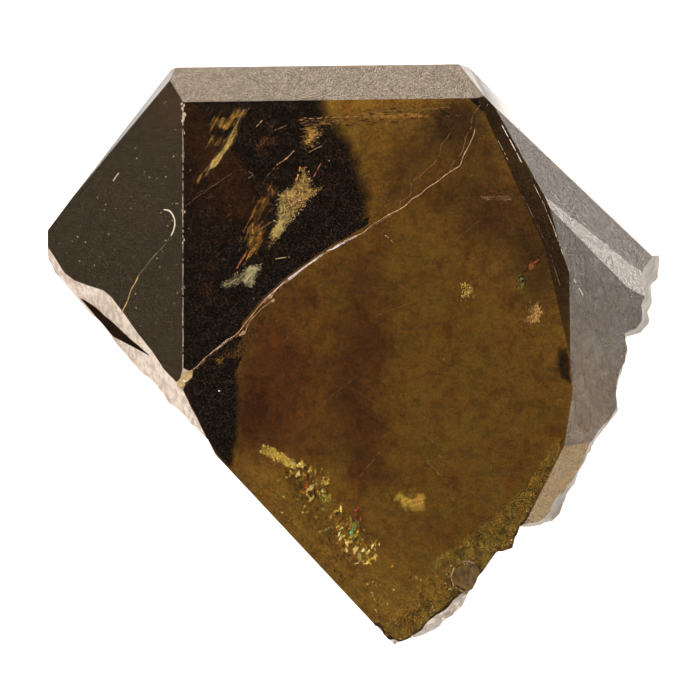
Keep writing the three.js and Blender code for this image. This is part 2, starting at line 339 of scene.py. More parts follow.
def rough_up(bm, broken, low, high):
    """Gives the broken surface its fine relief, moving points towards or away from the upright axis."""
    moves = {}
    for vert in bm.verts:
        if all(f[broken] < 0.5 for f in vert.link_faces):
            continue
        outward = Vector((vert.co.x, vert.co.y, 0)).normalized()
        levels = []
        for face in vert.link_faces:
            if face[broken] < 0.5 and all(face.normal.dot(n) < 0.9999 for n in levels):
                levels.append(face.normal.copy())
        if len(levels) == 1:
            outward -= levels[0] * outward.dot(levels[0])
        elif len(levels) == 2:
            line = levels[0].cross(levels[1]).normalized()
            outward = line * outward.dot(line)
        elif len(levels) > 2:
            continue
        height = RIB_HEIGHT * (STRIP_CALM if vert.co.x < STRIP_X * MM and vert.co.y < STRIP_TOP * MM else 1.0)
        moves[vert] = outward * (relief(vert.co / MM) * height * MM)
    for vert, move in moves.items():
        place = vert.co + move
        if all(low[i] <= place[i] <= high[i] for i in range(3)):
            vert.co = place


SKIN_LIFT = 0.006  # mm over the surface it covers
SKIN_THICKNESS = 0.02  # mm
BLOOM_LIFT = 0.0025  # mm
BLOOM_THICKNESS = 0.0015  # mm
LEFT_EDGE_X = -7.84  # mm; where the front face meets the left face, which falls away at 42 degrees
RIM_X, RIM_Y, RIM_LOW = 0.6, -7.5, 13.2  # mm; the crushed rim lies right of, below and above these
RIM_CHIP = (5.2, -10.2)  # the clear chip in the lower right rim, in plan, mm
RIM_CHIP_REACH = 0.8  # mm
GAP_MOUTH = 0.25  # mm; points of the gap's mouth nearer than this become one
GAP_PROBE = (-3.96, 6.85, 12.15)  # a place on the old crack, far from the outer faces, mm


def close_gap(bm):
    """Takes the walls of the old crack's gap out of the skin and closes its mouth in the front face."""

    def in_front_face(face):
        return all(v.co.z > (TOP - 0.002) * MM for v in face.verts)

    bm.faces.ensure_lookup_table()
    nearest = BVHTree.FromBMesh(bm).find_nearest(Vector(GAP_PROBE) * MM)
    start = bm.faces[nearest[2]]
    walls, waiting = {start}, [start]
    while waiting:
        for edge in waiting.pop().edges:
            for other in edge.link_faces:
                if other not in walls and not in_front_face(other):
                    walls.add(other)
                    waiting.append(other)
    if len(walls) > len(bm.faces) / 4:
        return
    bmesh.ops.delete(bm, geom=list(walls), context="FACES")
    mouth = [v for v in bm.verts if v.is_boundary]
    bmesh.ops.remove_doubles(bm, verts=mouth, dist=GAP_MOUTH * MM)


class Layer:
    """A thin closed layer over some faces of another mesh, with named values on its faces."""

    def __init__(self, lift, *names):
        self.bm = bmesh.new()
        self.lift = lift
        self.values = [self.bm.faces.layers.float.new(name) for name in names]
        self.made = {}

    def cover(self, face, *amounts):
        corners = []
        for vert in face.verts:
            if vert not in self.made:
                self.made[vert] = self.bm.verts.new(vert.co + vert.normal * self.lift * MM)
            corners.append(self.made[vert])
        made = self.bm.faces.new(corners)
        for value, amount in zip(self.values, amounts):
            made[value] = amount

    def finish(self, name, thickness, smooth):
        close_shell(self.bm, thickness)
        for face in self.bm.faces:
            face.smooth = smooth
        return mesh_of(name, self.bm)


def frosted_and_glare_skin(bm, broken, glare_white):
    """A thin crushed layer over the narrow fresh breaks, and a near-white skin of painted glare over the
    steep shoulders.
    """
    skin = Layer(SKIN_LIFT, "pale", "patchy", "warm")
    for face in bm.faces:
        middle = face.calc_center_median() / MM
        at_left = middle.x < STRIP_X and middle.y < STRIP_TOP and face.normal.z > -0.25
        at_right = middle.x > RIM_X and middle.y < RIM_Y and middle.z > RIM_LOW and face.normal.z > 0.1
        in_chip = math.hypot(middle.x - RIM_CHIP[0], middle.y - RIM_CHIP[1]) < RIM_CHIP_REACH
        fresh = face[broken] > 0.9 and (at_left or at_right)
        if not fresh and face[glare_white] < 0.5:
            continue
        skin.cover(face, face[glare_white], float(fresh and at_right and not in_chip), float(in_chip))
    return skin.finish("frosted_break_and_glare", SKIN_THICKNESS, True)


def front_bloom(bm, broken, glare_white, etched):
    """A very thin sprinkled film over the crystal faces that look up."""
    bloom = Layer(BLOOM_LIFT, "grey", "etched")
    for face in bm.faces:
        if face[broken] > 0.1 or face[glare_white] > 0.5 or face.normal.z < 0.6:
            continue
        tilt = lean_of(face.normal)[1]
        bloom.cover(face, float(tilt > 20 and face.normal.x > -0.5), face[etched])
    return bloom.finish("surface_bloom", BLOOM_THICKNESS, False)


def build_crystal_mesh():
    """The crystal with fine relief on its breaks and a touch of wear on its edges, and its flat planes."""
    bm = bmesh.new()
    bm.from_mesh(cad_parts[NODE].data)
    bmesh.ops.remove_doubles(bm, verts=bm.verts, dist=1e-7)
    close_gap(bm)
    bm.normal_update()
    names = ("broken", "etched", "painted_shade", "grainy", "glare_white")
    broken, etched, painted_shade, grainy, glare_white = [bm.faces.layers.float.new(name) for name in names]
    amounts = ((etched, ETCHED_FACES), (painted_shade, PAINTED_SHADE_FACES), (grainy, GRAINY_FACES), (glare_white, GLARE_WHITE_FACES))
    patches = level_patches(bm)
    for face in bm.faces:
        face[broken] = 1.0
    planes = []
    for patch in patches:
        largest = max(patch, key=lambda f: f.calc_area())
        normal = largest.normal.copy()
        planes.append((normal, largest.verts[0].co.copy()))
        for face in patch:
            face[broken] = 0.0
            for value, faces in amounts:
                face[value] = amount_for(normal, faces)
        bmesh.ops.dissolve_faces(bm, faces=patch, use_verts=False)
    straight = []
    for vert in bm.verts:
        if len(vert.link_edges) == 2 and vert.calc_edge_angle(0) < 0.01:
            straight.append(vert)
    bmesh.ops.dissolve_verts(bm, verts=straight)
    bm.normal_update()
    crisp = []
    for edge in bm.edges:
        if all(f[broken] < 0.5 for f in edge.link_faces) and edge.calc_face_angle(0) > 0.05:
            crisp.append(edge)
    worn = bmesh.ops.bevel(
        bm, geom=crisp, offset=EDGE_WEAR * MM, offset_type="OFFSET", segments=2, profile=0.5,
        affect="EDGES", clamp_overlap=True,
    )
    for face in set(worn["faces"]):
        face[broken] = 0.25
        for value, _ in amounts:
            face[value] = 0.0
    rough_edges = {e for f in bm.faces if f[broken] > 0.5 for e in f.edges}
    bmesh.ops.subdivide_edges(bm, edges=list(rough_edges), cuts=BREAK_CUTS, use_grid_fill=True)
    bm.normal_update()
    low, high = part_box(NODE)
    rough_up(bm, broken, low, high)
    bm.normal_update()
    for face in bm.faces:
        face.smooth = face[broken] > 0.1
        face.material_index = int(face[broken] > 0.5)
    for edge in bm.edges:
        edge.smooth = all(f[broken] > 0.1 for f in edge.link_faces) and edge.calc_face_angle(0) < 0.9
    mesh = bpy.data.meshes.new("crystal")
    bm.to_mesh(mesh)
    skin = frosted_and_glare_skin(bm, broken, glare_white)
    bloom = front_bloom(bm, broken, glare_white, etched)
    bm.free()
    return mesh, planes, skin, bloom


# The dark zones are painted shade for dark reflections inside, the white ones painted light under bright
# glows.
# Colour zones and painted shade and light as they show through the front face: middle, half widths and tint,
# in millimetres.
ZONES_WITH_PAINTED_LIGHT = [
    ((-3.4, -0.9), (2.6, 5.6), (0.62, 0.39, 0.47)),
    ((0.35, -1.4), (1.7, 8.2), (0.50, 0.33, 0.42)),
    ((2.7, 8.9), (2.4, 2.6), (0.51, 0.44, 0.54)),
    ((5.4, 10.6), (2.3, 2.6), (0.18, 0.15, 0.26)),
    ((8.6, 5.6), (1.9, 4.2), (0.27, 0.23, 0.34)),
    ((6.4, 6.8), (2.8, 2.8), (0.34, 0.26, 0.34)),
    ((2.5, -7.0), (1.3, 0.9), (1.0, 0.98, 0.95)),
    ((-5.2, -2.6), (1.5, 3.0), (0.38, 0.19, 0.24)),
    ((1.6, -11.0), (2.7, 2.2), (1.0, 1.0, 1.0)),
    ((-2.0, -6.4), (1.8, 1.8), (1.0, 1.0, 1.0)),
]
COMMON_TINT = (1.0, 0.93, 1.0)
BACK_HEIGHT = 5.0  # mm; the faces lower than this carry the colour zones and their painted shade and light


def zone_tint_with_painted_light(nodes, place):
    """The tint of the back faces: soft clouded zones of olive, red brown and purple brown, with painted shade
    and painted light in some zones.
    """
    wander = nodes.add("ShaderNodeTexNoise")
    nodes.set(wander.inputs["Vector"], place)
    wander.inputs["Scale"].default_value = 0.28
    wander.inputs["Detail"].default_value = 2
    shift = nodes.vector("SUBTRACT", wander.outputs["Color"], (0.5, 0.5, 0.5))
    moved = nodes.vector("ADD", place, nodes.vector("SCALE", shift, scale=3.4))
    tint = tuple(c * c for c in COMMON_TINT) + (1,)
    for (x, y), (half_x, half_y), colour in ZONES_WITH_PAINTED_LIGHT:
        away = nodes.vector("SUBTRACT", moved, (x, y, 0))
        away = nodes.vector("MULTIPLY", away, (1 / half_x, 1 / half_y, 0))
        share = nodes.ramp(nodes.vector("LENGTH", away), 1.45, 0.25)
        tint = nodes.mix(share, tint, tuple(c * c for c in colour) + (1,))
    clouds = nodes.noise(place, 0.55, 3.0, 0.62)
    shade = nodes.ramp(clouds, 0.25, 0.72, 0.72, 1.8)
    curls = nodes.noise(place, 1.7, 3.0, 0.72, (1.0, 0.6, 1.0))
    shade = nodes.math("MULTIPLY", shade, nodes.ramp(curls, 0.3, 0.7, 0.74, 1.2))
    grain = nodes.noise(place, 7.0, 2.0, 0.75)
    shade = nodes.math("MULTIPLY", shade, nodes.ramp(grain, 0.3, 0.7, 0.72, 1.2))
    stain = nodes.ramp(nodes.noise(place, 0.9, 3.0, 0.7, (1.3, 0.7, 1.0)), 0.48, 0.72)
    tint = nodes.mix(stain, tint, (0.55, 0.34, 0.26, 1), "MULTIPLY")
    return nodes.vector("SCALE", tint, scale=shade)


def add_absorption(nodes, surface):
    """The brown of the clear mineral, the same all through."""
    absorb = nodes.add("ShaderNodeVolumeAbsorption")
    absorb.inputs["Color"].default_value = (0.727, 0.6135, 0.23, 1)
    absorb.inputs["Density"].default_value = 400
    nodes.set(surface.node_tree.nodes["Material Output"].inputs["Volume"], absorb.outputs[0])


def crystal_material():
    surface, nodes, shader = material(
        "cassiterite", Roughness=0.03, IOR=CLEAR_IOR, Transmission_Weight=1.0,
    )
    place = nodes.position()
    level = nodes.split(place)
    is_back = nodes.ramp(level["Z"], BACK_HEIGHT + 1, BACK_HEIGHT)
    broken = nodes.attribute("broken")
    etched = nodes.attribute("etched")
    painted_shade = nodes.attribute("painted_shade")
    grain = nodes.noise(place, 11.0, 2.0, 0.8)
    # Painted shade: the corner left of the front-left edge, below y 0, is darkened the same way.
    corner = nodes.math("MULTIPLY", nodes.ramp(level["X"], -7.82, -7.9), nodes.ramp(level["Y"], 0.1, -0.4))
    painted_shade = nodes.math("MAXIMUM", painted_shade, corner)
    clear = nodes.mix(nodes.ramp(grain, 0.36, 0.6), (0.55, 0.55, 0.55, 1), (1, 1, 1, 1))
    hues = nodes.ramp(nodes.noise(place, 0.8, 2.0, 0.7), 0.42, 0.6)
    hue = nodes.mix(hues, (1.0, 0.86, 0.70, 1), (0.97, 1.0, 0.88, 1))
    mottling = nodes.ramp(nodes.noise(place, 2.1, 4.0, 0.8, (1.0, 1.25, 1.0)), 0.38, 0.58, 0.42, 1.0)
    clear = nodes.mix(1.0, clear, nodes.vector("SCALE", hue, scale=mottling), "MULTIPLY")
    # Darkens the colour towards near black on the listed faces and the corner: painted shade.
    clear = nodes.mix(painted_shade, clear, (0.03, 0.03, 0.03, 1))
    colour = nodes.mix(is_back, clear, zone_tint_with_painted_light(nodes, place))
    nodes.set(shader.inputs["Base Color"], colour)
    pits = nodes.noise(place, 0.9, 5.0, 0.72, (1.5, 0.8, 1.0))
    patchy = nodes.ramp(pits, 0.42, 0.6)
    etching = nodes.math("MULTIPLY", etched, patchy)
    rough = nodes.math("MULTIPLY", broken, 0.35)
    rough = nodes.math("ADD", rough, nodes.math("MULTIPLY", etching, 0.4))
    rough = nodes.math("ADD", rough, 0.03)
    nodes.set(shader.inputs["Roughness"], rough)
    fine = nodes.noise(place, 9.0, 2.0, 0.7)
    ups = nodes.math("ADD", nodes.math("MULTIPLY", fine, 0.3), nodes.math("MULTIPLY", patchy, 0.5))
    bump_height = nodes.math("MULTIPLY", nodes.math("ADD", ups, pits), etched)
    wrinkle = nodes.noise(place, 7.0, 3.0, 0.7, (1.0, 1.0, 0.45))
    bump_height = nodes.math("ADD", bump_height, nodes.math("MULTIPLY", wrinkle, broken))
    pitting = nodes.math("MULTIPLY", grain, nodes.math("MULTIPLY", nodes.attribute("grainy"), 0.06))
    bump_height = nodes.math("ADD", bump_height, pitting)
    nodes.bump(shader, bump_height, 0.45, 0.08)
    add_absorption(nodes, surface)
    return surface


def broken_material():
    """The fractured surface: half clear, half frosted golden brown, with curved ribs."""
    surface, nodes, shader = material(
        "broken_surface", Roughness=0.28, IOR=CLEAR_IOR, Transmission_Weight=0.85,
    )
    place = nodes.position()
    ribs = nodes.noise(place, 1.6, 5.0, 0.68, (1.0, 1.0, 0.8))
    blotches = nodes.noise(place, 0.8, 4.0, 0.6)
    colour = nodes.mix(nodes.ramp(ribs, 0.36, 0.62), as_linear(104, 86, 66), as_linear(168, 150, 126))
    colour = nodes.mix(nodes.ramp(blotches, 0.45, 0.7), colour, as_linear(116, 88, 64))
    golden = nodes.mix(nodes.ramp(ribs, 0.36, 0.62), as_linear(136, 98, 52), as_linear(204, 168, 112))
    places = nodes.split(place)
    at_lip = nodes.math("MULTIPLY", nodes.ramp(places["X"], 8.2, 9.6), nodes.ramp(places["Z"], 8.0, 10.5))
    colour = nodes.mix(at_lip, golden, colour)
    nodes.set(shader.inputs["Base Color"], colour)
    nodes.bump(shader, nodes.noise(place, 5.0, 4.0, 0.7, (1.0, 1.0, 0.8)), 0.6, 0.06)
    add_absorption(nodes, surface)
    return surface


def frosted_and_glare_material():
    """Crushed, finely ribbed mineral, pale pinkish grey, and painted nearly white on the steep shoulders as
    glare.
    """
    surface, nodes, shader = material("frosted_break_and_glare", Roughness=0.5, IOR=1.6)
    place = nodes.position()
    ribs = nodes.noise(place, 3.2, 5.0, 0.65, (1.7, 0.8, 0.8))
    blotches = nodes.noise(place, 1.1, 4.0, 0.6)
    colour = nodes.mix(nodes.ramp(ribs, 0.36, 0.6), as_linear(218, 202, 190), as_linear(255, 248, 240))
    colour = nodes.mix(nodes.ramp(blotches, 0.5, 0.72), colour, as_linear(216, 198, 184))
    # Near white on the shoulders: painted glare.
    worn = nodes.mix(nodes.ramp(ribs, 0.3, 0.42), as_linear(206, 204, 204), as_linear(246, 249, 254))
    colour = nodes.mix(nodes.attribute("pale"), colour, worn)
    chip = nodes.mix(nodes.ramp(ribs, 0.36, 0.6), as_linear(96, 76, 38), as_linear(138, 112, 66))
    colour = nodes.mix(nodes.attribute("warm"), colour, chip)
    nodes.set(shader.inputs["Base Color"], colour)
    crumbs = nodes.noise(place, 2.4, 6.0, 0.72)
    holes = nodes.math("MULTIPLY", nodes.attribute("patchy"), nodes.ramp(crumbs, 0.53, 0.47))
    places = nodes.split(place)
    beyond = nodes.math("SUBTRACT", LEFT_EDGE_X, places["X"])
    drop = nodes.math("MULTIPLY", nodes.math("MAXIMUM", beyond, 0.0), 0.9)
    height = nodes.math("MULTIPLY_ADD", crumbs, 4.0, third=nodes.math("ADD", places["Z"], drop))
    bare = nodes.math("SUBTRACT", nodes.ramp(height, 13.0, 10.5), nodes.attribute("pale"), clamp=True)
    nodes.set(shader.inputs["Alpha"], nodes.math("SUBTRACT", 1.0, nodes.math("MAXIMUM", holes, bare),
                                                 clamp=True))
    nodes.bump(shader, ribs, 0.6, 0.05)
    return surface


def bloom_material():
    """Fine pits and dust on the crystal faces, dark and light."""
    surface, nodes, shader = material("surface_bloom", Roughness=0.6, IOR=1.5)
    place = nodes.position()
    light = nodes.noise(place, 15.0, 3.0, 0.8)
    dark = nodes.noise(nodes.vector("ADD", place, (7.7, 3.3, 1.1)), 13.0, 3.0, 0.8)
    is_light = nodes.ramp(light, 0.53, 0.6)
    colour = nodes.mix(is_light, as_linear(12, 8, 5), as_linear(92, 64, 36))
    on_grey = nodes.mix(is_light, as_linear(84, 76, 70), as_linear(216, 206, 196))
    on_grey = nodes.mix(nodes.attribute("etched"), on_grey, as_linear(112, 114, 120))
    colour = nodes.mix(nodes.attribute("grey"), colour, on_grey)
    nodes.set(shader.inputs["Base Color"], colour)
    cover = nodes.math("MAXIMUM", nodes.math("MULTIPLY", is_light, 0.26),
                       nodes.ramp(dark, 0.5, 0.62, 0.0, 0.46))
    calm = nodes.math("MULTIPLY_ADD", nodes.attribute("grey"), -0.6, third=1.0)
    cover = nodes.math("MULTIPLY", cover, calm)
    clouds = nodes.ramp(nodes.noise(place, 1.3, 3.0, 0.7), 0.5, 0.62, 0.0, 0.22)
    cloudy = nodes.math("MULTIPLY", clouds, nodes.attribute("etched"))
    cover = nodes.math("MAXIMUM", cover, cloudy)
    nodes.set(shader.inputs["Alpha"], cover)
    return surface


crystal_mesh, crystal_planes, skin_mesh, bloom_mesh = build_crystal_mesh()
crystal = piece("crystal", crystal_mesh, crystal_material())
crystal_mesh.materials.append(broken_material())
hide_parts(NODE)
piece("frosted_break_and_glare", skin_mesh, frosted_and_glare_material())
piece("surface_bloom", bloom_mesh, bloom_material())

# The old crack through the upper left, an air gap that mirrors the dark inside of the crystal; its near-black
# colour is painted shade.
CRACK_LINE = [
    (-7.84, -1.07), (-6.37, 0.22), (-5.22, 1.14), (-4.07, 2.52), (-2.92, 3.53), (-1.08, 4.82), (0.53, 5.74),
    (2.05, 6.66), (3.29, 7.58), (4.9, 8.73), (5.59, 10.34), (6.14, 11.54),
]
CRACK_DIP_AZIMUTH = 129
CRACK_DIP = 42  # degrees down from level
CRACK_GAP = 0.02  # mm
CRACK_DEPTH = 0.06  # how far under the front face the gap opens, mm
CRACK_CELL = 0.2  # grid spacing, mm
CRACK_START, CRACK_END = -6.0, 18.0  # how far the sheet goes along the line, from its first point, mm
CRACK_COLUMNS = 100
CRACK_FALL = 22  # how far the sheet goes down its dip before it is cut to the crystal, mm
CRACK_FADE = 0.8  # width over which the crack closes up towards its right edge, mm
INSIDE_MARGIN = 0.15  # mm kept between a piece inside and the crystal's faces
CRACK_RIGHT_EDGE = [(11.6, -1.2), (10.1, -0.1), (8.82, 0.49), (8.04, 0.81), (7.49, 0.9), (6.62, 0.81),
                    (5.5, 0.55)]


def along(points, value):
    """Straight lines between given (place, value) points."""
    ordered = sorted(points)
    if value <= ordered[0][0]:
        return ordered[0][1]
    for (a, first), (b, second) in zip(ordered, ordered[1:]):
        if value <= b:
            return first + (second - first) * (value - a) / (b - a)
    return ordered[-1][1]


def inside_polygon(x, y, corners):
    within = False
    for (x0, y0), (x1, y1) in zip(corners, corners[1:] + corners[:1]):
        if (y0 > y) != (y1 > y) and x < x0 + (x1 - x0) * (y - y0) / (y1 - y0):
            within = not within
    return within


def cut_to_crystal(bm, margin):
    """Removes all that isn't inside the crystal's flat faces by at least the margin."""
    for normal, point in crystal_planes:
        bmesh.ops.bisect_plane(
            bm, geom=list(bm.verts) + list(bm.edges) + list(bm.faces), plane_co=point - normal * margin * MM,
            plane_no=normal, clear_outer=True, dist=1e-8,
        )


def sheet_mesh(name, bm, thickness):
    """A closed thin shell made from an open sheet."""
    close_shell(bm, thickness)
    for face in bm.faces:
        face.smooth = True
    for edge in bm.edges:
        edge.smooth = edge.calc_face_angle(0) < 0.7
    return mesh_of(name, bm)


def build_crack():
    bm = bmesh.new()
    cover = bm.verts.layers.float.new("cover")
    azimuth, dip = math.radians(CRACK_DIP_AZIMUTH), math.radians(CRACK_DIP)
    away = Vector((math.cos(azimuth), math.sin(azimuth), 0))
    down = away * math.cos(dip) - Vector((0, 0, math.sin(dip)))
    level = Vector((math.sin(azimuth), -math.cos(azimuth), 0))  # along the crack, to the right
    start = Vector((CRACK_LINE[0][0], CRACK_LINE[0][1], TOP))
    trace = []
    for x, y in CRACK_LINE:
        offset = Vector((x, y, TOP)) - start
        trace.append((offset.dot(level), offset.dot(away)))

    def place_on(u, v):
        wave = 0.08 * noise.noise(Vector((u * 0.28, v * 0.22, 4.2))) + 0.01 * noise.noise(Vector((u, v, 9.1)))
        place = start + level * u + away * along(trace, u) + down * v
        return place + down.cross(level) * wave * min(1.0, v / 3)

    def right_end(v):
        u = CRACK_START
        while u < CRACK_END:
            place = place_on(u, v)
            if place.x > along(CRACK_RIGHT_EDGE, place.y) + 0.06 * noise.noise(place * 1.3):
                return u
            u += 0.02
        return u

    rows = [CRACK_DEPTH * 1.5 + CRACK_CELL * j for j in range(int(CRACK_FALL / CRACK_CELL))]
    grid = []
    for v in rows:
        end = right_end(v)
        row = []
        for i in range(CRACK_COLUMNS + 1):
            u = CRACK_START + (end - CRACK_START) * i / CRACK_COLUMNS
            place = place_on(u, v)
            row.append(bm.verts.new(place * MM))
            inward = (end - u) / CRACK_FADE + 0.3 * noise.noise(place * 1.2)
            row[-1][cover] = 1.0 if v < 0.5 else max(0.0, min(1.0, inward))
        grid.append(row)
    for low, high in zip(grid, grid[1:]):
        for i in range(CRACK_COLUMNS):
            bm.faces.new([low[i], low[i + 1], high[i + 1], high[i]])
    cut_to_crystal(bm, INSIDE_MARGIN)
    bmesh.ops.delete(bm, geom=[v for v in bm.verts if not v.link_faces], context="VERTS")
    return sheet_mesh("old_crack", bm, CRACK_GAP)


def dark_crack_material():
    """The crack, near black in painted shade for the unlit depths it mirrors, with painted light in brown
    where light leaks past it.
    """
    surface, nodes, shader = material("dark_crack", Roughness=0.22, Metallic=1.0)
    place = nodes.position()
    clouds = nodes.noise(place, 0.5, 5.0, 0.65)
    streaks = nodes.noise(place, 1.6, 6.0, 0.7, (1.3, 0.5, 0.8))
    share = nodes.ramp(nodes.math("MULTIPLY", clouds, streaks), 0.18, 0.42)
    places = nodes.split(place)
    share = nodes.math("MULTIPLY", share, nodes.ramp(places["X"], -8.4, -7.4))
    # Near black with brown near the left edge: painted shade and painted leaking light.
    colour = nodes.mix(share, (0.045, 0.023, 0.014, 1), (0.08, 0.042, 0.022, 1))
    nodes.set(shader.inputs["Base Color"], colour)
    nodes.set(shader.inputs["Alpha"], nodes.attribute("cover"))
    return surface


piece("old_crack", build_crack(), dark_crack_material())


def tone_of(colour, gain=1.0):
    """A colour in display values as a linear tone, brightened and kept below full white."""
    red, green, blue, alpha = as_linear(*colour)
    return (min(0.95, red * gain), min(0.95, green * gain), min(0.95, blue * gain), alpha)


def surface_at(x, y, lift=0.0):
    """The point on the front faces over a place in plan, lifted off them, and the way the face looks."""
    lowest = None
    for normal, point in crystal_planes:
        if normal.z < 0.1:
            continue
        height = point.z / MM - (normal.x * (x - point.x / MM) + normal.y * (y - point.y / MM)) / normal.z
        if lowest is None or height < lowest[0]:
            lowest = (height, normal)
    height, normal = lowest
    return Vector((x, y, height)) + normal * lift, normal


class Flakes:
    """A mesh of many closed thin plates, each with its own tone."""

    def __init__(self, seed):
        self.bm = bmesh.new()
        self.tone = self.bm.loops.layers.float_color.new("tone")
        self.rng = random.Random(seed)

    def plate(self, outline, thickness, colour, normal=Vector((0, 0, 1))):
        """A closed plate with this outline, a list of points in millimetres."""
        top = [self.bm.verts.new(p * MM) for p in outline]
        low = [self.bm.verts.new((p - normal * thickness) * MM) for p in outline]
        faces = [self.bm.faces.new(top), self.bm.faces.new(low[::-1])]
        count = len(outline)
        for i in range(count):
            j = (i + 1) % count
            faces.append(self.bm.faces.new([top[j], top[i], low[i], low[j]]))
        for face in faces:
            for loop in face.loops:
                loop[self.tone] = colour

    def flake(self, middle, heading, length, width, colour, facing=(0, 0), jitter=8, thickness=0.008,
              corners=6):
        """An irregular plate about length by width, its normal facing an azimuth and tilt in degrees."""
        rng = self.rng
        azimuth = math.radians(facing[0] + rng.uniform(-1, 1) * jitter * (1 if facing[1] else 22))
        tilt = math.radians(facing[1] + rng.uniform(-1, 1) * jitter)
        normal = Vector((math.sin(tilt) * math.cos(azimuth), math.sin(tilt) * math.sin(azimuth),
                         math.cos(tilt)))
        first = Vector((math.cos(heading), math.sin(heading), 0))
        first.z = -(first.x * normal.x + first.y * normal.y) / normal.z
        first.normalize()
        second = normal.cross(first)
        outline = []
        for k in range(corners):
            angle = 2 * math.pi * (k + rng.uniform(-0.25, 0.25)) / corners
            reach = rng.uniform(0.65, 1.0)
            along_it, across_it = length / 2 * reach * math.cos(angle), width / 2 * reach * math.sin(angle)
            outline.append(Vector(middle) + first * along_it + second * across_it)
        self.plate(outline, thickness, colour, normal)

    def places(self, corners, count):
        """This many random places inside an outline in plan, each drawn when it is asked for."""
        low, high = span_of(corners)
        placed = 0
        while placed < count:
            x, y = self.rng.uniform(low[0], high[0]), self.rng.uniform(low[1], high[1])
            if inside_polygon(x, y, corners):
                placed += 1
                yield x, y

    def scatter(self, corners, count, depth, size, heading, spread, colours, slender=3.0, facing=(0, 0),
                jitter=8, corners_each=6):
        """Flakes spread over a patch of the front face, depth millimetres under it."""
        rng = self.rng
        for x, y in self.places(corners, count):
            length = rng.uniform(*size)
            turn = math.radians(heading + rng.uniform(-spread, spread))
            tone = tone_of(rng.choice(colours), rng.uniform(0.7, 1.3))
            middle = (x, y, TOP - rng.uniform(*depth))
            width = length / slender * rng.uniform(0.6, 1.4)
            self.flake(middle, turn, length, width, tone, facing, jitter, corners=corners_each)

    def specks(self, corners, count, size, colours, lift=0.002):
        """Tiny plates lying on the front faces inside a patch."""
        rng = self.rng
        for x, y in self.places(corners, count):
            place, normal = surface_at(x, y, lift)
            width = size[0] + (size[1] - size[0]) * rng.random() ** 3
            tone = tone_of(rng.choice(colours), rng.uniform(0.6, 1.0))
            turn = rng.uniform(0, math.pi)
            self.flake(place, turn, width * rng.uniform(1, 1.6), width, tone, lean_of(normal), 0.3,
                       lift + 0.004, 5)

    def on_faces(self, points, width, colour, lift=0.003, **how):
        """A thin strip along points given in plan, lying on the front faces."""
        for a, b in zip(points, points[1:]):
            normal = surface_at((a[0] + b[0]) / 2, (a[1] + b[1]) / 2)[1]
            ends = [surface_at(*a, lift)[0], surface_at(*b, lift)[0]]
            self.line(ends, width, colour, normal=normal, sink=0.0, **how)

    def line(self, points, width, colour, normal=Vector((0, 0, 1)), sink=0.004, wiggle=0.03, gaps=0.0,
             step=0.12, thickness=0.012, fade=0.35):
        """A thin, slightly uneven strip along points in millimetres, lying in a face with this normal."""
        rng = self.rng
        path = []
        for a, b in zip(points, points[1:]):
            pieces = max(1, round((b - a).length / step))
            path += [a.lerp(b, i / pieces) for i in range(pieces)]
        path.append(points[-1])
        total = len(path)
        sides = []
        for i, p in enumerate(path):
            ahead = path[min(i + 1, total - 1)] - path[max(i - 1, 0)]
            across = normal.cross(ahead).normalized()
            drift = wiggle * noise.noise(p * 1.7 + Vector((self.rng.random() * 0.2, 0, 0)))
            wide = width * rng.uniform(0.6, 1.25)
            p = p + across * drift - normal * sink
            sides.append((p + across * wide / 2, p - across * wide / 2))
        for i in range(total - 1):
            if rng.random() < gaps:
                continue
            (a, b), (c, d) = sides[i], sides[i + 1]
            tone = tone_of(colour, rng.uniform(1 - fade, 1 + fade))
            self.plate([b, d, c, a], thickness, tone, normal)

    def finish(self, name, surface):
        bmesh.ops.recalc_face_normals(self.bm, faces=self.bm.faces)
        return piece(name, mesh_of(name, self.bm), surface)


def veil_material(name, rough, metal):
    surface, nodes, shader = material(name, Roughness=rough, Metallic=metal)
    tone = nodes.attribute("tone", "Color")
    place = nodes.position()
    shade = nodes.ramp(nodes.noise(place, 12.0, 4.0, 0.7), 0.25, 0.75, 0.7, 1.25)
    nodes.set(shader.inputs["Base Color"], nodes.vector("SCALE", tone, scale=shade))
    return surface


veil = veil_material("veil", 0.2, 0.85)
pale_edge = veil_material("pale_edge", 0.5, 0.0)


def film_material():
    """A soft silky veil of tiny bubbles inside the crystal, thinning out to nothing at its border; the dark
    level films are sheets of painted shade.
    """
    surface, nodes, shader = material("film", Roughness=0.25, Metallic=1.0)
    grain = nodes.attribute("grain", "Vector")
    streaks = nodes.math("SUBTRACT", nodes.noise(grain, 1.0, 7.0, 0.72), 0.5)
    strength = nodes.math("MULTIPLY", nodes.attribute("streaky"), 3.4)
    cover = nodes.math("MULTIPLY_ADD", streaks, strength, nodes.attribute("cover"))
    nodes.set(shader.inputs["Alpha"], nodes.ramp(cover, 0.25, 1.1))
    crests = nodes.noise(nodes.vector("ADD", grain, (5.2, 3.1, 0)), 1.6, 6.0, 0.75)
    specks = nodes.noise(nodes.position(), 13.0, 3.0, 0.8)
    shade = nodes.math("MULTIPLY", nodes.ramp(crests, 0.34, 0.62, 0.65, 1.6),
                       nodes.ramp(specks, 0.34, 0.66, 0.75, 1.4))
    uneven = nodes.math("MULTIPLY", nodes.attribute("streaky"), 1.2, clamp=True)
    shade = nodes.math("MULTIPLY_ADD", nodes.math("SUBTRACT", shade, 1.0), uneven, third=1.0)
    nodes.set(shader.inputs["Base Color"],
              nodes.vector("SCALE", nodes.attribute("tone", "Color"), scale=shade))
    return surface


FILM_CELL = 0.06  # mm
PLATE_CELL = 0.11  # mm
FILM_THICKNESS = 0.01  # mm


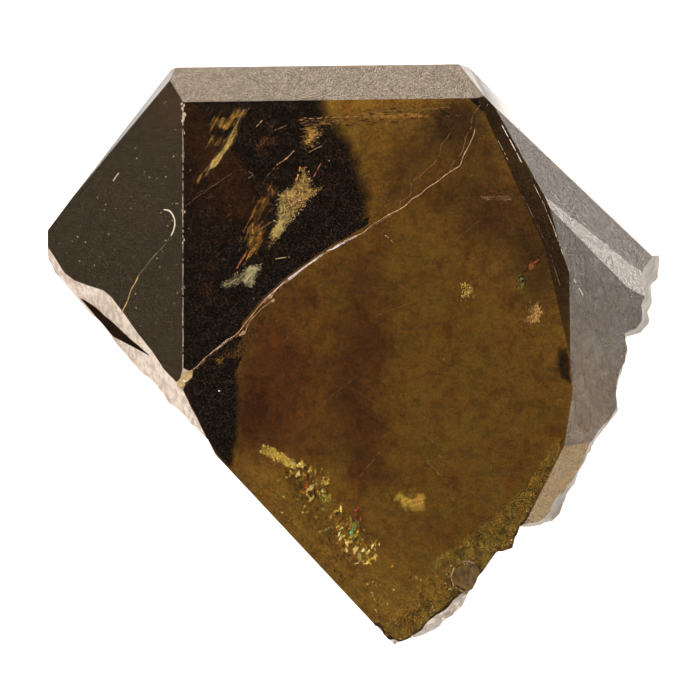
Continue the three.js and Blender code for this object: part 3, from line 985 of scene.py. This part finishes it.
def distance_to_border(x, y, corners):
    nearest = 1e9
    for (x0, y0), (x1, y1) in zip(corners, corners[1:] + corners[:1]):
        run = (x1 - x0, y1 - y0)
        share = ((x - x0) * run[0] + (y - y0) * run[1]) / (run[0] ** 2 + run[1] ** 2)
        share = max(0.0, min(1.0, share))
        nearest = min(nearest, math.hypot(x - x0 - share * run[0], y - y0 - share * run[1]))
    return nearest


def film(name, corners, depth, colour, soft, heading, fineness, slender, cover, facing, streaky=1.0):
    """A thin wavy sheet of this outline in plan, its cover fading in over the soft width from its border."""
    bm = bmesh.new()
    tone = bm.loops.layers.float_color.new("tone")
    cover_layer = bm.verts.layers.float.new("cover")
    streaky_layer = bm.verts.layers.float.new("streaky")
    grain = bm.verts.layers.float_vector.new("grain")
    low, high = span_of(corners)
    middle = [(low[i] + high[i]) / 2 for i in (0, 1)]
    turn = math.radians(heading)
    towards, slope = math.radians(facing[0]), math.tan(math.radians(facing[1]))
    shift = sum(map(ord, name)) % 97
    plated = corners is RIM_CRUSH
    cell = PLATE_CELL if plated else FILM_CELL
    points = {}

    def point_at(i, j, centre):
        """The grid point; a plated film has its own points for each cell, tilted about the cell's centre."""
        key = (i, j, centre) if plated else (i, j)
        if key not in points:
            x, y = low[0] + i * cell, low[1] + j * cell
            about = centre if plated else middle
            wave = 0.0 if plated else 0.03 * noise.noise(Vector((x * 0.9, y * 0.9, shift)))
            fall = slope * ((x - about[0]) * math.cos(towards) + (y - about[1]) * math.sin(towards))
            vert = bm.verts.new(Vector((x, y, TOP - depth + wave - fall)) * MM)
            inward = distance_to_border(x, y, corners) / soft
            inward += min(0.5, streaky) * noise.noise(Vector((x * 2.2, y * 2.2, shift)))
            inward = max(0.0, min(1.0, inward))
            vert[cover_layer] = cover * inward * inward * (3 - 2 * inward)
            vert[streaky_layer] = streaky
            along_it = x * math.cos(turn) + y * math.sin(turn)
            across_it = y * math.cos(turn) - x * math.sin(turn)
            vert[grain] = (along_it * fineness / slender, across_it * fineness, shift)
            points[key] = vert
        return points[key]

    for i in range(int((high[0] - low[0]) / cell)):
        for j in range(int((high[1] - low[1]) / cell)):
            x, y = low[0] + (i + 0.5) * cell, low[1] + (j + 0.5) * cell
            if not inside_polygon(x, y, corners) or not inside_polygon(x, y, FRONT_OUTLINE):
                continue
            if distance_to_border(x, y, FRONT_OUTLINE) < RIM_MARGIN:
                continue
            around = [point_at(i + a, j + b, (x, y)) for a, b in ((0, 0), (1, 0), (1, 1), (0, 1))]
            for loop in bm.faces.new(around).loops:
                loop[tone] = as_linear(*colour)
    close_shell(bm, FILM_THICKNESS)
    return mesh_of(name, bm)


def on_front(x, y, depth=0.0):
    return Vector((x, y, TOP - depth))


GOLD_STREAK = [
    (-4.76, 11.4), (-5.17, 10.71), (-5.45, 9.84), (-5.86, 9.24), (-6.32, 8.59), (-6.83, 8.18), (-6.78, 8.64),
    (-6.32, 9.28), (-5.86, 9.88), (-5.59, 10.53), (-5.17, 11.31),
]
GOLD_BAND = [(-6.9, 11.45), (-4.7, 11.45), (-5.6, 9.8), (-7.1, 7.6), (-7.55, 7.9), (-7.3, 8.6), (-6.6, 9.9)]
GOLD_PATCH = [
    (-2.46, 8.73), (-2.09, 8.64), (-1.77, 7.72), (-1.31, 7.86), (-1.03, 8.13), (-1.77, 7.26), (-2.32, 6.71),
    (-2.96, 5.93), (-3.47, 5.28), (-3.98, 4.82), (-3.88, 5.51), (-3.7, 6.16), (-3.56, 6.94), (-3.47, 7.49),
    (-2.87, 7.86), (-2.55, 8.27),
]
GOLD_PATCH_CORE = [
    (-2.0, 7.1), (-2.32, 6.71), (-2.96, 5.93), (-3.4, 5.4), (-3.3, 6.2), (-3.2, 7.2), (-2.6, 7.4),
]
BROWN_GLOW = [(-5.2, 4.4), (-5.3, 6.0), (-4.4, 7.9), (-3.2, 8.9), (-3.4, 7.2), (-3.8, 5.4), (-4.1, 4.3)]
SILVER_PATCH = [
    (-6.18, 3.3), (-5.77, 3.44), (-5.31, 3.86), (-4.76, 4.13), (-4.21, 4.22), (-4.16, 3.99), (-4.44, 3.72),
    (-4.48, 3.3), (-4.76, 3.07), (-5.22, 3.26), (-5.63, 3.07), (-6.09, 3.07),
]
TOP_GOLD = [
    (-2.46, 10.85), (-1.22, 11.03), (-0.43, 10.94), (-0.2, 10.8), (-0.76, 10.53), (-1.4, 10.3), (-1.58, 9.74),
    (-2.18, 9.33), (-2.41, 9.61), (-2.46, 10.3),
]

# Veils that look one of these ways (azimuth and tilt) mirror a soft light back out through the front face.
TO_UPPER_LAMP = (95, 11)
TO_LEFT_LAMP = (225, 11)

BROWN_BAND = [(-4.5, 11.35), (-2.7, 11.3), (-2.7, 9.9), (-3.6, 8.9), (-4.6, 8.1), (-5.2, 9.0), (-5.0, 10.2)]
LOWER_BAND = [(-7.5, 7.9), (-6.6, 8.2), (-5.2, 7.0), (-5.4, 5.6), (-6.6, 6.4), (-7.5, 7.2)]
GOLD_SMEAR = [(-5.6, 4.0), (-4.9, 4.9), (-4.3, 6.3), (-3.9, 6.2), (-4.0, 5.2), (-4.9, 3.9)]
CRUSHED = [
    (-3.8, -5.3), (-2.0, -5.2), (-0.4, -7.6), (0.3, -9.0), (1.6, -11.4), (2.2, -12.4), (0.9, -12.4),
    (-3.2, -7.6),
]
UPPER_SHARDS = [(-3.2, -5.0), (-2.4, -5.0), (-1.2, -5.3), (-1.1, -6.6), (-1.6, -7.3), (-3.0, -5.8)]
LOWER_SHARDS = [(-1.4, -7.4), (-0.6, -7.0), (0.4, -7.8), (1.3, -8.8), (1.0, -9.6), (-0.2, -9.6), (-1.2, -8.6)]
LOW_SPECKS = [(0.9, -9.8), (2.2, -9.6), (3.6, -10.4), (2.6, -11.8), (1.4, -12.2), (0.6, -11.4)]
RED_SPOT = [(7.75, 3.65), (7.95, 4.25), (8.6, 4.75), (8.75, 4.35), (8.25, 3.85)]
GREEN_SPOT = [(7.35, 2.9), (7.4, 3.7), (8.0, 3.9), (8.2, 3.3), (7.9, 2.8)]
PALE_SPOT = [(7.5, 1.2), (7.7, 2.5), (8.9, 2.7), (9.2, 1.7), (8.5, 1.1)]
YELLOW_SPOT = [(4.75, 2.4), (4.8, 3.4), (5.6, 3.4), (5.6, 2.5)]
SOFT_SPOT = [(1.3, -6.6), (1.9, -5.9), (3.4, -5.9), (4.0, -6.8), (3.4, -7.7), (2.1, -7.6)]
TOP_STREAK = [(-0.6, 11.3), (4.4, 11.4), (5.2, 10.9), (3.0, 10.7), (-0.4, 10.5)]
PALE_STREAK = [(5.4, 7.0), (5.7, 7.4), (6.7, 7.5), (7.8, 7.3), (7.7, 6.95), (6.6, 7.0)]

LENS_VEIL = [(-3.2, 10.6), (-0.9, 10.4), (0.5, 9.2), (0.75, 7.6), (0.4, 6.2), (-0.8, 5.4), (-2.6, 4.3),
             (-1.6, 7.0), (-2.2, 8.8)]
# Outlines of two dark films of painted shade, at the lower left and at the right edge.
LOWER_SHADE = [
    (-8.3, -1.0), (-6.6, -0.2), (-5.1, -0.1), (-4.95, -2.1), (-5.0, -3.9), (-5.3, -5.3), (-6.0, -5.8),
    (-7.6, -4.4), (-8.4, -2.6),
]
EDGE_SHADE = [(8.8, 0.1), (9.3, 0.7), (10.8, 0.8), (10.8, -1.9), (9.5, -1.6), (8.9, -0.9)]
LOWER_GLOW = [(-7.2, -0.7), (-6.4, 0.1), (-5.3, 1.1), (-4.2, 2.3), (-3.5, 2.5), (-4.1, 0.7), (-4.9, -0.6),
              (-6.0, -0.7)]
YELLOW_PATCH = [(-4.4, -4.1), (-3.6, -4.2), (-2.9, -4.7), (-2.4, -5.1), (-2.7, -5.4), (-3.6, -4.9),
                (-4.2, -4.6)]
LEFT_VEIL = [(-7.5, 6.6), (-5.6, 5.2), (-5.2, 3.9), (-6.4, 1.4), (-7.5, 0.4)]
RIM_CRUSH = [
    (1.0, -14.2), (3.5, -13.6), (6.0, -12.0), (8.0, -10.2), (9.4, -7.4), (10.6, -4.0), (9.2, -3.4),
    (7.6, -5.8), (6.3, -7.1), (4.9, -8.1), (3.5, -9.1), (2.7, -10.5), (1.7, -11.7), (0.4, -12.6),
]
FRONT_OUTLINE = [
    (1.38, -12.84), (2.1, -13.27), (2.64, -13.03), (3.11, -12.67), (3.42, -12.32), (3.8, -11.94),
    (4.22, -11.66), (4.55, -11.28), (4.98, -11.01), (5.22, -10.87), (4.68, -10.6), (4.53, -10.2),
    (4.74, -9.77), (5.24, -9.57), (5.65, -9.67), (5.82, -9.94), (5.79, -10.13), (6.03, -9.83), (6.34, -9.43),
    (6.66, -9.04), (7.31, -8.88), (7.43, -8.35), (7.64, -7.89), (7.97, -7.6), (9.26, -5.07), (9.74, -3.92),
    (10.08, -1.72), (9.98, -0.16), (9.31, 2.73), (8.82, 4.85), (6.96, 9.03), (5.71, 11.82), (-7.84, 11.63),
    (-7.84, -0.63), (-7.49, -2.3), (-6.84, -3.67), (-6.3, -4.64), (0.99, -12.42),
]
RIM_MARGIN = 0.07  # mm that the films stay inside the outline of the front face

# Soft films: name, outline, depth, tint, soft width, heading of the streaks, their fineness and slenderness,
# cover, the way they look, and where given how strongly the streaks break up their shade
FILMS = [
    ("gold_band", GOLD_BAND, 0.9, (224, 184, 116), 0.9, 58, 5.0, 14.0, 0.95, TO_UPPER_LAMP, 0.9),
    ("gold_streak", GOLD_STREAK, 0.5, (255, 224, 160), 0.22, 57, 9.0, 20.0, 1.6, TO_UPPER_LAMP, 0.6),
    ("brown_band", BROWN_BAND, 1.3, (104, 74, 42), 1.4, 50, 4.0, 10.0, 0.75, TO_UPPER_LAMP, 0.8),
    ("lower_band", LOWER_BAND, 1.2, (90, 62, 36), 0.9, 40, 4.0, 10.0, 0.75, TO_UPPER_LAMP, 0.8),
    ("brown_glow", BROWN_GLOW, 1.0, (166, 136, 84), 1.0, 62, 6.0, 9.0, 0.9, TO_UPPER_LAMP, 1.0),
    ("gold_smear", GOLD_SMEAR, 0.8, (200, 156, 92), 0.45, 62, 9.0, 7.0, 0.85, TO_UPPER_LAMP, 1.0),
    ("gold_patch", GOLD_PATCH, 0.5, (255, 218, 156), 0.3, 60, 18.0, 3.0, 1.1, TO_UPPER_LAMP, 1.2),
    ("silver_patch", SILVER_PATCH, 0.4, (255, 226, 180), 0.22, 30, 22.0, 1.4, 0.85, TO_LEFT_LAMP, 1.6),
    ("top_gold", TOP_GOLD, 0.6, (240, 200, 130), 0.5, 4, 11.0, 12.0, 0.95, TO_UPPER_LAMP, 1.2),
    ("top_streak", TOP_STREAK, 0.6, (220, 178, 112), 0.5, 3, 10.0, 20.0, 0.7, TO_UPPER_LAMP, 1.0),
    ("lens_veil", LENS_VEIL, 2.1, (80, 46, 26), 0.9, 45, 4.0, 5.0, 0.5, TO_UPPER_LAMP),
    ("left_veil", LEFT_VEIL, 1.3, (66, 42, 26), 0.7, 45, 4.0, 4.0, 0.6, TO_UPPER_LAMP),
    # Dark level sheets of painted shade, darkening what lies under them.
    ("lower_shade", LOWER_SHADE, 1.6, (26, 12, 7), 0.7, 85, 2.0, 2.0, 1.3, (0, 0), 0.1),
    ("edge_shade", EDGE_SHADE, 0.7, (52, 34, 18), 0.7, 85, 2.0, 2.0, 0.95, (0, 0), 0.4),
    ("lower_glow", LOWER_GLOW, 1.0, (108, 80, 44), 0.7, 42, 4.0, 5.0, 0.9, TO_UPPER_LAMP, 0.8),
    ("crushed", CRUSHED, 1.4, (128, 112, 52), 0.8, -48, 5.0, 1.6, 0.6, TO_UPPER_LAMP, 0.8),
    ("yellow_patch", YELLOW_PATCH, 0.4, (255, 236, 130), 0.15, 60, 10.0, 3.0, 1.15, TO_UPPER_LAMP, 1.5),
    ("red_spot", RED_SPOT, 0.5, (236, 150, 112), 0.35, 40, 6.0, 4.0, 1.1, TO_UPPER_LAMP, 0.8),
    ("green_spot", GREEN_SPOT, 0.6, (160, 172, 118), 0.5, 60, 6.0, 2.0, 0.95, TO_UPPER_LAMP, 0.7),
    ("pale_spot", PALE_SPOT, 0.7, (206, 184, 142), 0.8, 30, 6.0, 1.6, 0.95, TO_UPPER_LAMP, 0.6),
    ("yellow_spot", YELLOW_SPOT, 0.6, (240, 220, 140), 0.4, 60, 12.0, 2.5, 0.7, TO_UPPER_LAMP, 1.5),
    ("soft_spot", SOFT_SPOT, 0.7, (255, 220, 124), 1.0, 10, 4.0, 2.5, 0.95, TO_UPPER_LAMP, 0.35),
    ("pale_streak", PALE_STREAK, 0.4, (140, 122, 104), 0.3, 3, 6.0, 9.0, 0.9, TO_UPPER_LAMP, 0.9),
    ("rim_crush", RIM_CRUSH, 0.25, (150, 132, 62), 0.9, -45, 3.0, 1.3, 1.4, TO_UPPER_LAMP, 0.2),
]


def build_films():
    """The soft veils, joined into one piece."""
    bm = bmesh.new()
    for values in FILMS:
        mesh = film(*values)
        bm.from_mesh(mesh)
        bpy.data.meshes.remove(mesh)
    return piece("films", mesh_of("films", bm), film_material())


def build_veils():
    """The glints on the gold and brown veils in the dark upper left part."""
    veils = Flakes(11)
    dim_gold = [(70, 58, 40), (56, 44, 28), (84, 68, 46)]
    gold = [(120, 108, 86), (104, 90, 68), (150, 134, 110), (84, 68, 46)]
    pale_gold = [(180, 166, 140), (150, 136, 110), (206, 194, 172)]
    for values in [
        (GOLD_BAND, 160, (0.9, 1.3), (0.15, 0.6), 58, 8, dim_gold, 12, TO_UPPER_LAMP, 7),
        (GOLD_STREAK, 260, (0.5, 0.8), (0.12, 0.5), 57, 7, gold, 11, TO_UPPER_LAMP, 6),
        (BROWN_GLOW, 110, (1.1, 1.5), (0.15, 0.4), 62, 25, dim_gold, 5, TO_UPPER_LAMP, 8),
        (GOLD_PATCH, 620, (0.4, 0.7), (0.04, 0.14), 55, 40, gold + pale_gold, 2.2, TO_UPPER_LAMP, 8),
        (GOLD_PATCH_CORE, 420, (0.35, 0.4), (0.04, 0.13), 60, 25, pale_gold, 3, TO_UPPER_LAMP, 7),
        (TOP_GOLD, 200, (0.5, 0.8), (0.08, 0.35), 5, 25, gold, 4, TO_UPPER_LAMP, 8),
        (TOP_STREAK, 160, (0.5, 0.8), (0.1, 0.4), 3, 20, dim_gold, 6, TO_UPPER_LAMP, 8),
    ]:
        veils.scatter(*values)
    return veils.finish("veils", veil)


STREAK_NARROWING = 0.6  # share of the listed width that a streak is drawn with


def build_streaks():
    """Short bright lines lying on the front face over the dark part and along the upper edge: painted glints
    where the veils inside catch the light.
    """
    streaks = Flakes(17)
    for start, end, width, colour in [
        ((-3.52, 8.73), (-2.73, 9.38), 0.05, (196, 150, 112)),
        ((-4.0, 8.2), (-3.6, 8.6), 0.035, (120, 84, 60)),
        ((-1.81, 8.18), (-1.49, 8.82), 0.05, (160, 96, 76)),
        ((-4.48, 10.53), (-4.21, 10.8), 0.05, (180, 156, 116)),
        ((-3.61, 10.3), (-3.1, 10.57), 0.05, (124, 96, 62)),
        ((-5.36, 3.99), (-4.94, 4.64), 0.13, (136, 78, 42)),
        ((-4.67, 6.06), (-4.62, 5.6), 0.07, (156, 122, 74)),
        ((-4.39, 5.74), (-3.75, 6.11), 0.03, (130, 98, 60)),
        ((-4.95, 8.5), (-4.62, 8.28), 0.03, (150, 110, 90)),
        ((-4.62, 8.28), (-4.85, 8.14), 0.03, (150, 110, 90)),
        ((-2.42, 8.72), (-2.64, 8.02), 0.11, (206, 142, 74)),
        ((-2.05, 9.3), (-1.45, 9.62), 0.05, (150, 122, 84)),
        ((-1.15, 8.92), (-1.02, 8.98), 0.06, (200, 176, 160)),
        ((-3.65, 4.41), (-2.92, 4.5), 0.07, (150, 138, 108)),
        ((-7.75, 6.85), (-5.59, 8.36), 0.025, (104, 78, 56)),
        ((-7.3, 7.35), (-6.1, 8.0), 0.02, (90, 66, 46)),
        ((1.45, 5.51), (1.82, 5.19), 0.06, (168, 132, 100)),
    ]:
        streaks.line([on_front(*start), on_front(*end)], width * STREAK_NARROWING, colour, sink=-0.003,
                     wiggle=0.06, gaps=0.18, step=0.07, fade=0.6)
    for start, end, width, colour in [
        ((-2.41, 10.89), (0.03, 10.94), 0.03, (150, 118, 70)),
        ((0.03, 10.94), (3.02, 11.12), 0.03, (132, 102, 56)),
        ((0.6, 11.25), (4.4, 11.36), 0.025, (118, 88, 48)),
    ]:
        streaks.line([on_front(*start), on_front(*end)], width, colour, sink=-0.003, wiggle=0.08, gaps=0.3,
                     fade=0.5)
    return streaks.finish("streaks", pale_edge)


def build_flecks():
    """Bright specks: the silver patch, the rainbow specks and the crushed corner at the lower left."""
    flecks = Flakes(23)
    silver = [(220, 206, 180), (180, 164, 134), (250, 246, 236), (150, 126, 90)]
    shards = [(240, 226, 130), (214, 196, 96), (250, 244, 190), (170, 160, 70), (150, 110, 44)]
    for values in [
        (SILVER_PATCH, 520, (0.25, 0.5), (0.02, 0.09), 35, 60, silver, 1.6, TO_LEFT_LAMP, 14),
        ([(-5.0, 3.1), (-4.4, 3.3), (-4.2, 4.0), (-5.1, 3.9)], 60, (0.45, 0.5), (0.1, 0.3), 60, 40,
         [(84, 70, 48), (66, 52, 32)], 2, TO_LEFT_LAMP),
        ([(-4.4, -4.1), (-3.6, -4.3), (-2.5, -5.0), (-2.6, -5.4), (-3.6, -4.9), (-4.2, -4.6)], 60,
         (0.6, 0.7), (0.08, 0.3), -30, 40, [(255, 236, 150), (240, 204, 100), (255, 246, 190)], 2,
         TO_UPPER_LAMP, 9),
        (UPPER_SHARDS, 90, (0.4, 0.8), (0.12, 0.6), 70, 50, shards, 2.6, TO_UPPER_LAMP, 8, 4),
        (LOWER_SHARDS, 120, (0.4, 0.8), (0.12, 0.65), 70, 50, shards, 2.6, TO_UPPER_LAMP, 8, 4),
        (CRUSHED, 150, (1.0, 1.5), (0.05, 0.25), -45, 90, shards, 1.8, TO_UPPER_LAMP, 10, 5),
        (LOW_SPECKS, 60, (0.7, 1.0), (0.05, 0.2), 60, 90, shards, 1.8, TO_UPPER_LAMP, 9),
        ([(0.0, -7.0), (0.3, -6.95), (0.4, -7.6), (0.05, -7.7)], 16, (0.4, 0.5), (0.08, 0.26), 75, 20,
         [(255, 110, 110), (240, 90, 140)], 3.0, TO_UPPER_LAMP, 8, 4),
        ([(0.0, -7.6), (0.3, -7.6), (0.1, -8.4), (-0.2, -8.3)], 18, (0.4, 0.5), (0.08, 0.3), 75, 20,
         [(90, 220, 190), (150, 220, 110)], 3.0, TO_UPPER_LAMP, 8, 4),
        ([(-2.5, -5.9), (-2.1, -5.8), (-2.0, -6.3), (-2.4, -6.5)], 8, (0.6, 0.7), (0.1, 0.25), 80, 30,
         [(255, 140, 90), (255, 110, 70)], 1.6, TO_UPPER_LAMP, 8),
        ([(-1.9, -6.0), (-1.3, -6.2), (-1.1, -6.9), (-1.6, -6.8)], 14, (0.6, 0.7), (0.08, 0.3), -50, 40,
         [(150, 220, 120), (190, 236, 150)], 2.0, TO_UPPER_LAMP, 8),
        ([(7.8, 3.7), (8.0, 4.3), (8.6, 4.7), (8.7, 4.3), (8.2, 3.9)], 10, (0.6, 1.0), (0.1, 0.35), 40, 25,
         [(150, 70, 50), (124, 56, 40), (104, 60, 40)], 2.2, TO_UPPER_LAMP, 9),
        ([(7.5, 3.1), (7.6, 3.7), (8.1, 3.7), (8.0, 3.1)], 24, (0.6, 1.0), (0.08, 0.3), 60, 40,
         [(84, 110, 66), (100, 120, 80), (66, 90, 50)], 2, TO_UPPER_LAMP, 9, 4),
        ([(4.9, 2.7), (5.0, 3.3), (5.5, 3.2), (5.4, 2.7)], 18, (0.6, 1.0), (0.06, 0.26), 60, 50,
         [(220, 206, 120), (190, 176, 90), (250, 244, 180)], 2.4, TO_UPPER_LAMP, 9, 4),
        ([(7.6, 1.5), (7.8, 2.5), (8.9, 2.6), (9.1, 1.7), (8.3, 1.3)], 14, (0.5, 0.7), (0.06, 0.25), 20, 60,
         [(220, 196, 110), (206, 180, 120)], 2.2, TO_UPPER_LAMP, 9, 4),
    ]:
        flecks.scatter(*values)
    return flecks.finish("flecks", veil)


CHIP_WIDTH = 0.6  # share of its length
NICK_WIDTH = 0.45  # share of its length


def build_crack_lines():
    """The pale lines where cracks meet the front faces, with the small chips beside them."""
    lines = Flakes(31)
    lines.on_faces(CRACK_LINE, 0.032, (176, 146, 116), wiggle=0.09, step=0.07, fade=0.55)
    beside = [(x + 0.05, y - 0.06) for x, y in CRACK_LINE[:8]]
    lines.on_faces(beside, 0.03, (104, 72, 46), wiggle=0.1, gaps=0.5, fade=0.4)
    second = [(-5.05, 0.95), (-4.75, 1.5), (-4.3, 2.05), (-3.79, 2.5)]
    lines.on_faces(second, 0.03, (150, 120, 96), wiggle=0.1)
    hair = [(4.44, 10.34), (3.6, 9.0), (2.8, 7.7), (2.14, 6.66)]
    lines.on_faces(hair, 0.02, (112, 84, 48), wiggle=0.3, gaps=0.15)
    fork = [(5.82, 11.5), (5.5, 10.9), (5.2, 9.9), (4.9, 9.2), (4.3, 8.3)]
    lines.on_faces(fork, 0.02, (130, 100, 68), wiggle=0.2, gaps=0.15)
    left_crack = [(-8.35, 5.51), (-8.8, 4.95), (-9.36, 4.36), (-9.91, 3.67)]
    lines.on_faces(left_crack, 0.025, (104, 90, 66), wiggle=0.06, gaps=0.3, fade=0.5)
    lines.on_faces([(-9.91, 3.67), (-10.2, 3.1), (-10.45, 2.45), (-10.75, 1.75)], 0.05, (176, 146, 84),
                   wiggle=0.08, gaps=0.12, fade=0.5)
    for x, y, size in [(-3.82, 2.66, 0.34), (-3.7, 2.5, 0.25), (-5.08, 1.02, 0.3), (-5.2, 0.92, 0.22)]:
        lines.flake((x, y, TOP + 0.003), math.radians(40), size, size * CHIP_WIDTH, tone_of((150, 130, 92)),
                    (0, 0), 1)
    return lines.finish("crack_lines", pale_edge)


EDGE_NICKS = [(11.35, 0.2), (11.1, 0.26), (10.75, 0.16), (10.2, 0.1), (9.2, 0.08), (6.57, 0.12),
              (5.19, 0.14), (3.1, 0.08)]
CHIP_LEAF = [(-7.4, -0.72), (-7.42, -1.02), (-7.62, -1.32), (-7.9, -1.52), (-8.12, -1.5), (-8.1, -1.28),
             (-7.88, -0.92), (-7.62, -0.7)]
LEFT_FACE_PLAN = [(-13.9, 4.9), (-8.6, 12.0), (-7.95, 11.4), (-7.95, -0.7), (-8.6, -0.2), (-11.3, 3.1)]
FRONT_PLAN = [(-7.6, 11.3), (6.0, 11.3), (9.4, 2.6), (9.2, -4.6), (2.2, -12.6), (-6.2, -4.4), (-7.6, -1.2)]
RIGHT_PLAN = [(9.2, 6.0), (11.4, 6.6), (13.4, 2.6), (12.4, 0.5), (11.2, -3.2), (10.0, -3.6), (9.9, 2.5)]
UPPER_PLAN = [(-7.6, 11.8), (-7.9, 12.8), (4.8, 12.9), (5.9, 11.8)]
FRONT_LEFT_EDGE = -7.843  # x of the edge between the front face and the left face, mm
FIBRE = [(-8.72, 6.68), (-8.5, 6.66), (-8.34, 6.5), (-8.22, 6.25), (-8.2, 6.0), (-8.27, 5.72), (-8.38, 5.5)]
CHIP_RIM = [(5.1, -10.9), (4.6, -10.62), (4.45, -10.2), (4.68, -9.7), (5.24, -9.5), (5.7, -9.62)]
RIM_CRUMBS = [
    (2.1, -13.2), (2.6, -13.0), (3.1, -12.6), (3.8, -11.9), (4.5, -11.25), (5.2, -10.85), (4.7, -10.6),
    (4.45, -10.2), (4.7, -9.7), (5.6, -9.65), (5.8, -10.1), (6.3, -9.45), (6.7, -9.05), (7.3, -8.85),
    (7.5, -8.2), (7.95, -7.6), (8.6, -6.2), (8.3, -6.3), (7.6, -7.6), (7.0, -8.5), (6.2, -9.1), (5.4, -9.3),
    (4.4, -9.5), (4.1, -10.5), (4.3, -11.0), (3.4, -11.8), (2.6, -12.6),
]


def build_wear_and_highlights():
    """Worn edges, nicks, scratches, fine dust and one curled fibre, with painted highlights along the right
    bevel and the front-left edge.
    """
    wear_and_highlights = Flakes(43)
    # A pale strip along the front-left edge, partly wear and partly a painted edge highlight.
    edge = [Vector((FRONT_LEFT_EDGE, y, TOP + 0.004)) for y in (11.6, -0.7)]
    wear_and_highlights.line(edge, 0.045, (150, 138, 122), sink=0.0, wiggle=0.02, gaps=0.2, fade=0.55)
    for y, size in EDGE_NICKS:
        for k in range(4):
            x, up = FRONT_LEFT_EDGE + wear_and_highlights.rng.uniform(-0.06, 0.1), y + wear_and_highlights.rng.uniform(-1, 1) * size
            grey = tone_of((206, 198, 188), wear_and_highlights.rng.uniform(0.5, 1.1))
            wear_and_highlights.flake((x, up, TOP + 0.006), wear_and_highlights.rng.uniform(0.8, 2.2), size, size * NICK_WIDTH, grey,
                       (0, 0), 1)
    leaf = [Vector((x, y, TOP + 0.01 + 0.12 * (x + 7.4))) for x, y in CHIP_LEAF]
    leaf_normal = Vector((-0.12, 0, 1)).normalized()
    wear_and_highlights.plate(leaf, 0.03, tone_of((176, 158, 112)), leaf_normal)
    # Strips along the step lines of the right bevel and on the right faces; the pale ones are painted
    # highlights where the steps catch the light.
    bright = (250, 244, 234)
    wear_and_highlights.on_faces([(6.83, 10.56), (7.3, 9.7), (7.74, 8.86)], 0.03, bright, wiggle=0.02, gaps=0.2, fade=0.4)
    wear_and_highlights.on_faces([(6.59, 9.97), (7.1, 8.96)], 0.03, (150, 138, 118), wiggle=0.02, gaps=0.3)
    wear_and_highlights.on_faces([(7.78, 7.32), (8.55, 5.79), (9.1, 4.5), (9.5, 3.2)], 0.015, (122, 108, 84), wiggle=0.02,
                  gaps=0.3)
    wear_and_highlights.on_faces([(8.29, 7.84), (8.78, 6.9), (9.23, 5.79), (9.63, 4.64)], 0.016, (206, 194, 176),
                  wiggle=0.02, gaps=0.25, fade=0.5)
    wear_and_highlights.on_faces([(9.93, 3.87), (10.25, 3.3), (10.56, 2.76)], 0.03, (232, 226, 216), wiggle=0.03, gaps=0.35,
                  fade=0.5)
    wear_and_highlights.on_faces([(9.0, 7.6), (10.6, 6.1), (12.4, 4.1)], 0.02, (206, 196, 184), wiggle=0.05, gaps=0.5,
                  fade=0.4)
    for start, end, tone in [
        ((3.4, -4.9), (4.6, -6.2), (134, 112, 62)), ((2.6, -3.3), (3.9, -4.1), (126, 100, 56)),
        ((3.9, -4.6), (4.4, -5.0), (160, 140, 92)), ((-1.4, -2.2), (-0.1, -1.2), (120, 86, 48)),
        ((5.2, 0.4), (6.6, 1.6), (124, 100, 54)), ((1.0, 1.8), (2.7, 2.4), (118, 92, 50)),
        ((6.4, -2.1), (7.6, -3.6), (128, 104, 58)), ((-3.2, 0.6), (-2.2, 1.5), (120, 80, 44)),
        ((0.3, -5.6), (1.3, -4.4), (126, 100, 54)), ((4.8, 5.4), (5.9, 6.3), (110, 84, 44)),
    ]:
        wear_and_highlights.on_faces([start, end], 0.012, tone, wiggle=0.05, gaps=0.3, fade=0.4)
    dust = [(236, 230, 218), (214, 206, 192), (190, 182, 166)]
    wear_and_highlights.specks(LEFT_FACE_PLAN, 150, (0.015, 0.075), dust)
    wear_and_highlights.specks(FRONT_PLAN, 110, (0.012, 0.045), [(176, 160, 128), (150, 130, 96), (200, 188, 160)])
    wear_and_highlights.specks(RIGHT_PLAN, 60, (0.015, 0.06), [(240, 236, 228), (200, 194, 186)])
    wear_and_highlights.specks(RIGHT_PLAN, 50, (0.02, 0.11), [(84, 76, 70), (100, 90, 84)])
    wear_and_highlights.specks(RIM_CRUMBS, 150, (0.015, 0.1),
                [(186, 160, 120), (156, 126, 84), (130, 100, 60), (210, 188, 156)])
    wear_and_highlights.on_faces(CHIP_RIM, 0.022, (206, 186, 160), wiggle=0.08, gaps=0.35, fade=0.5)
    wear_and_highlights.specks(UPPER_PLAN, 60, (0.02, 0.08), [(206, 194, 178), (120, 102, 86), (190, 150, 118)])
    wear_and_highlights.flake(surface_at(-6.18, -1.66, 0.004)[0], 0.3, 0.1, 0.09, tone_of((246, 240, 228)), (0, 0), 1)
    wear_and_highlights.on_faces(FIBRE, 0.045, (238, 232, 214), lift=0.03, wiggle=0.01, step=0.06, thickness=0.03, fade=0.1)
    wear_and_highlights.on_faces([(-11.11, 8.04), (-10.97, 8.24), (-10.83, 8.41)], 0.03, (206, 198, 178), lift=0.02,
                  wiggle=0.01, thickness=0.02, fade=0.1)
    return wear_and_highlights.finish("wear_dust_and_highlights", pale_edge)


build_films()
build_veils()
build_streaks()
build_flecks()
build_crack_lines()
build_wear_and_highlights()

scene.cycles.max_bounces = 11
scene.cycles.transmission_bounces = 11
scene.cycles.glossy_bounces = 12
scene.cycles.transparent_max_bounces = 12
scene.view_settings.view_transform = "Standard"
